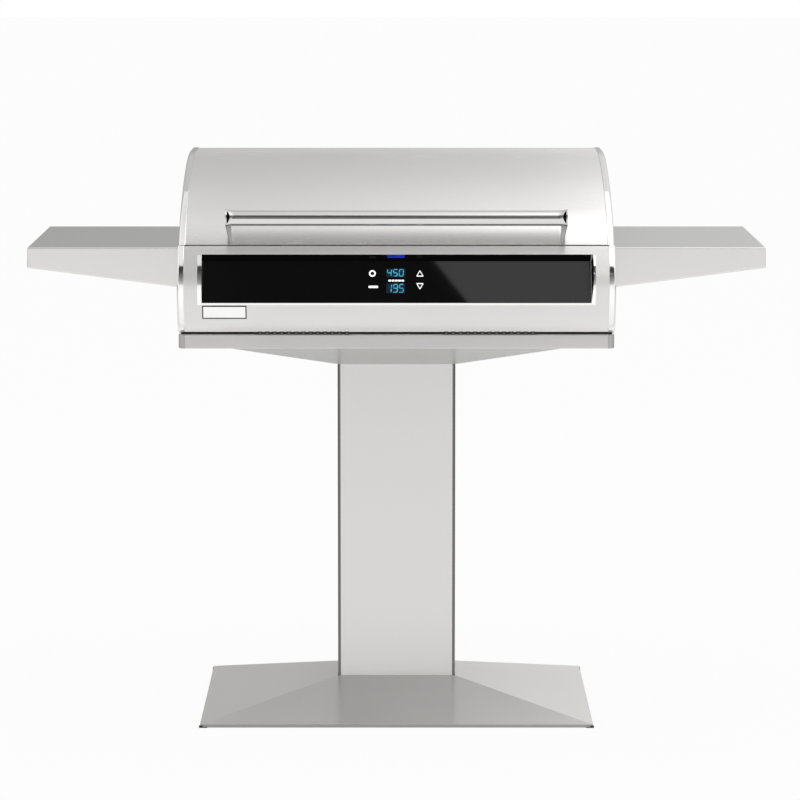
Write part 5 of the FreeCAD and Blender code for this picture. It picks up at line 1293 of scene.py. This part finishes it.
def seen_directly(tree):
    """1 for what the camera sees, whether straight, mirrored or through glass, and 0 for all other light."""
    path = add_node(tree, "ShaderNodeLightPath").outputs
    seen = path["Is Camera Ray"]
    for ray in ("Is Glossy Ray", "Is Transmission Ray"):
        seen = add_node(tree, "ShaderNodeMath", {0: seen, 1: path[ray]}, operation="MAXIMUM")
    return seen


def floor():
    """A white studio floor that shows as white and keeps the object's shadow."""
    reach, share_of_white = 40.0, 0.92
    mesh = bpy.data.meshes.new("studio_floor")
    mesh.from_pydata(rectangle(reach, reach, 0), [], [(0, 1, 2, 3)])
    material, tree, shader = new_material("studio_floor_paint", "#F4F4F4", 0.9, Specular_IOR_Level=0.0)
    glow = add_node(tree, "ShaderNodeEmission", values={"Strength": 1.0})
    share = add_node(
        tree, "ShaderNodeMath", {0: seen_directly(tree)}, {1: share_of_white}, operation="MULTIPLY")
    mixed = add_node(tree, "ShaderNodeMixShader", {0: share, 1: shader, 2: glow})
    tree.links.new(mixed.outputs[0], tree.nodes["Material Output"].inputs["Surface"])
    mesh.materials.append(material)
    linked("studio_floor", mesh)


def surroundings():
    """A white world for the camera, metal and glass, and a plain level of light for everything else."""
    world = bpy.data.worlds.new("studio")
    bpy.context.scene.world = world
    world.use_nodes = True
    tree = world.node_tree
    tree.nodes.clear()
    level = add_node(
        tree, "ShaderNodeMapRange", {"Value": seen_directly(tree)}, {"To Min": 0.8, "To Max": 1.0})
    light = add_node(tree, "ShaderNodeBackground", {"Strength": level}, {"Color": (1, 1, 1, 1)})
    add_node(tree, "ShaderNodeOutputWorld", {"Surface": light})


def softbox():
    """A large soft lamp overhead, given by its brightness, which the camera and metal don't see."""
    side, radiance = 4.0, 0.5
    lamp = bpy.data.lights.new("overhead_softbox", "AREA")
    lamp.shape = "RECTANGLE"
    lamp.size = lamp.size_y = side
    lamp.energy = radiance * pi * side ** 2
    made = linked("overhead_softbox", lamp)
    made.location = (0.6, -0.6, 4.8)
    made.visible_camera = made.visible_glossy = False


FRONT_Y, REAR_Y, CEILING_Z, CEILING_FRONT_Y, CARD_Z = -9.0, 4.0, 5.2, -4.14, 0.004
# Brightness of the front wall by height: beside the middle, and in the middle
FRONT_FADE = [(0.0, 1.0), (0.75, 0.74), (2.8, 0.41), (5.5, 0.20), (9.9, 0.05), (11.0, 0.03)]
FRONT_MIDDLE = [(0.0, 0.72), (0.6, 0.30), (2.0, 0.18), (9.9, 0.06), (11.0, 0.05)]
# Brightness of the floor by distance in front of the part: beside the middle, and in the middle
FLOOR_FADE = [(-9.0, 1.1), (-7.4, 0.95), (-4.8, 0.99), (-2.7, 1.1), (-1.6, 1.32), (-1.0, 1.0), (-0.6, 0.8)]
FLOOR_MIDDLE = [(-9.0, 1.1), (-7.4, 1.06), (-4.8, 1.03), (-1.4, 1.06), (-0.9, 1.08), (-0.3, 0.90)]
# Brightness of the rear wall, which the shelves show: by height, times by width
REAR_HEIGHT = [(0.0, 0.84), (0.75, 0.78), (1.02, 0.44), (1.5, 0.46), (2.4, 0.64), (7.0, 0.68)]
REAR_WIDTH = [(-1.0, 0.84), (0.0, 0.95), (0.45, 1.0), (0.65, 1.20), (1.0, 1.25)]
# Brightness of the ceiling by width: over the floor in front, and behind
CEILING_FRONT = [(-0.61, 0.92), (-0.58, 0.82), (0.0, 1.06), (0.45, 1.50), (0.58, 1.65), (0.61, 1.90)]
CEILING_BACK = [(-0.61, 0.90), (-0.58, 0.76), (0.0, 0.86), (0.58, 0.98), (0.61, 1.40)]


def beside(x, side, middle, half, blend=0.25):
    """The level at x of something that differs in the middle of the studio, half of which is this wide."""
    return ramp(abs(x), [(half, middle), (half + blend, side)])


def studio():
    """The white room, its lamp, and the cards that the steel and the glass show."""
    surroundings()
    floor()
    card(
        "front_flag", (-7.0, 7.0, 7.0, -7.0), FRONT_Y, (0.0, 0.0, 11.0, 11.0),
        lambda x, y, z: beside(x, ramp(z, FRONT_FADE), ramp(z, FRONT_MIDDLE), half=0.65), steps=120)
    # A pale panel with a slanting edge, which the glass shows on its right
    card(
        "front_panel", (0.74, 0.88, 0.88, -0.26), FRONT_Y + 0.1, (7.2, 7.2, 8.9, 8.9),
        lambda x, y, z: 1.08, steps=4)
    card(
        "front_floor", (-7.0, 7.0, 7.0, -7.0), (FRONT_Y, FRONT_Y, -0.3, -0.3), CARD_Z,
        lambda x, y, z: beside(x, ramp(y, FLOOR_FADE), ramp(y, FLOOR_MIDDLE), half=0.3), steps=140)
    card(
        "rear_wall", (-9.0, 9.0, 9.0, -9.0), REAR_Y, (0.0, 0.0, 7.0, 7.0),
        lambda x, y, z: ramp(z, REAR_HEIGHT) * ramp(x, REAR_WIDTH), steps=140)
    card("rear_floor", (-6.0, 6.0, 9.0, -9.0), (0.5, 0.5, REAR_Y, REAR_Y), CARD_Z, lambda x, y, z: 0.7)
    card(
        "ceiling", (-3.0, 3.0, 3.0, -3.0), (CEILING_FRONT_Y, CEILING_FRONT_Y, 3.0, 3.0), CEILING_Z,
        lambda x, y, z: ramp(y, [(-0.8, ramp(x, CEILING_FRONT)), (1.0, ramp(x, CEILING_BACK))]), steps=220)
    # The sides are darker near the floor, which draws the rounded corners of the pan
    for side, sign in (("left", -1), ("right", 1)):
        near_x, far_x = sign * 1.3, sign * 5.0
        card(
            side + "_flag", far_x, (-3.0, 3.5, 3.5, -3.0), (0.0, 0.0, 2.6, 2.6),
            lambda x, y, z: ramp(z, [(0.0, 0.36), (0.5, 0.78)]), steps=12)
        card(
            side + "_floor", (near_x, far_x, far_x, near_x), (-2.4, -3.0, 3.5, 3.5), CARD_Z + 0.002,
            lambda x, y, z: ramp(abs(x), [(2.5, 0.8), (4.0, 0.4)]), steps=24)
    # A grey card over the bar, which widens the bar's own reflection in the hood
    card(
        "bar_shade", (-0.272, 0.272, 0.272, -0.272), (-0.262, -0.262, -0.242, -0.242),
        (0.860, 0.860, 0.872, 0.872), lambda x, y, z: 0.43, steps=2)
    softbox()


def camera():
    """The photo's view."""
    lens = bpy.data.cameras.new("camera")
    lens.lens = CAMERA_LENS
    lens.sensor_width = 36.0
    lens.shift_x, lens.shift_y = CAMERA_SHIFT
    lens.clip_end = 100.0
    made = linked("camera", lens)
    made.location = CAMERA_PLACE
    made.rotation_euler = (radians(90 - CAMERA_PITCH), 0, 0)
    bpy.context.scene.camera = made
    bpy.context.scene.view_settings.view_transform = "Standard"


camera()
studio()

base_cover()
post()
cradle()
pan()
shelf()
body_ends()
fascia()
bezel()
glass()
head_strip()
display()
touch_marks()
display_light()
nameplate()
louvres()
hood_ends()
hood_skin()
handle()
handle_legs()
cooking_grids()
element()

PANEL_SCREW_XS = [side * x for side in (-1, 1) for x in (0.060, 0.180, 0.290)]
HINGE_SCREW_XS = [side * (0.250 + x) for side in (-1, 1) for x in (-0.012, 0.012)]
screws(
    "rear_panel_screws", PANEL_SCREW_XS, y=0.212, z=0.682, radius=0.004, height=0.002, socket_r=0.0018,
    body="root", node="rear_screws")
screws(
    "body_hinge_screws", HINGE_SCREW_XS, y=0.214, z=0.779, radius=0.0036, height=0.0016, socket_r=0.0016,
    body="root", node="hinge_screws")
screws(
    "hood_leaf_screws", HINGE_SCREW_XS, y=0.213, z=0.829, radius=0.0036, height=0.0016, socket_r=0.0016,
    body="hood", node="hood_hinge_screws")

for node in ("rear_panel", "floor_panel"):
    eased_copy(node, STEEL_X, "root", "brushed_steel_sheet")
eased_copy("hood_back", STEEL_HOOD, "hood", "brushed_steel_sheet")
eased_copy("grease_tray", STEEL_X, "grease_tray", "brushed_steel_sheet")
eased_copy("corner_glides", NYLON, "root", "black_plastic", 0.0004)
for node in ("floor_plate", "post_foot_flange", "post_head_flange", "tray_rails", "shelf_stiffeners"):
    eased_copy(node, GALVANISED, "root", "plain_steel")
for node in ("firebox", "grid_rails", "element_rack", "heat_reflector"):
    eased_copy(node, ALUMINISED, "root", "plain_steel")

repaint(MIRROR, "temperature_probe")
repaint(
    ZINC, "foot_bolts", "head_bolts", "body_bolts", "shelf_bolts", "handle_screws", "hinge_pins",
    "hinge_body_leaves", "hinge_hood_leaves")
repaint(
    NYLON, "glass_retainer", "control_housing", "display_module", "power_module", "supply_terminal",
    "cable_gland")
repaint(RUBBER, "body_gasket", "hood_bumpers", "wiring_loom")
repaint(STEATITE, "element_terminals")
repaint(BOARD, "control_board")
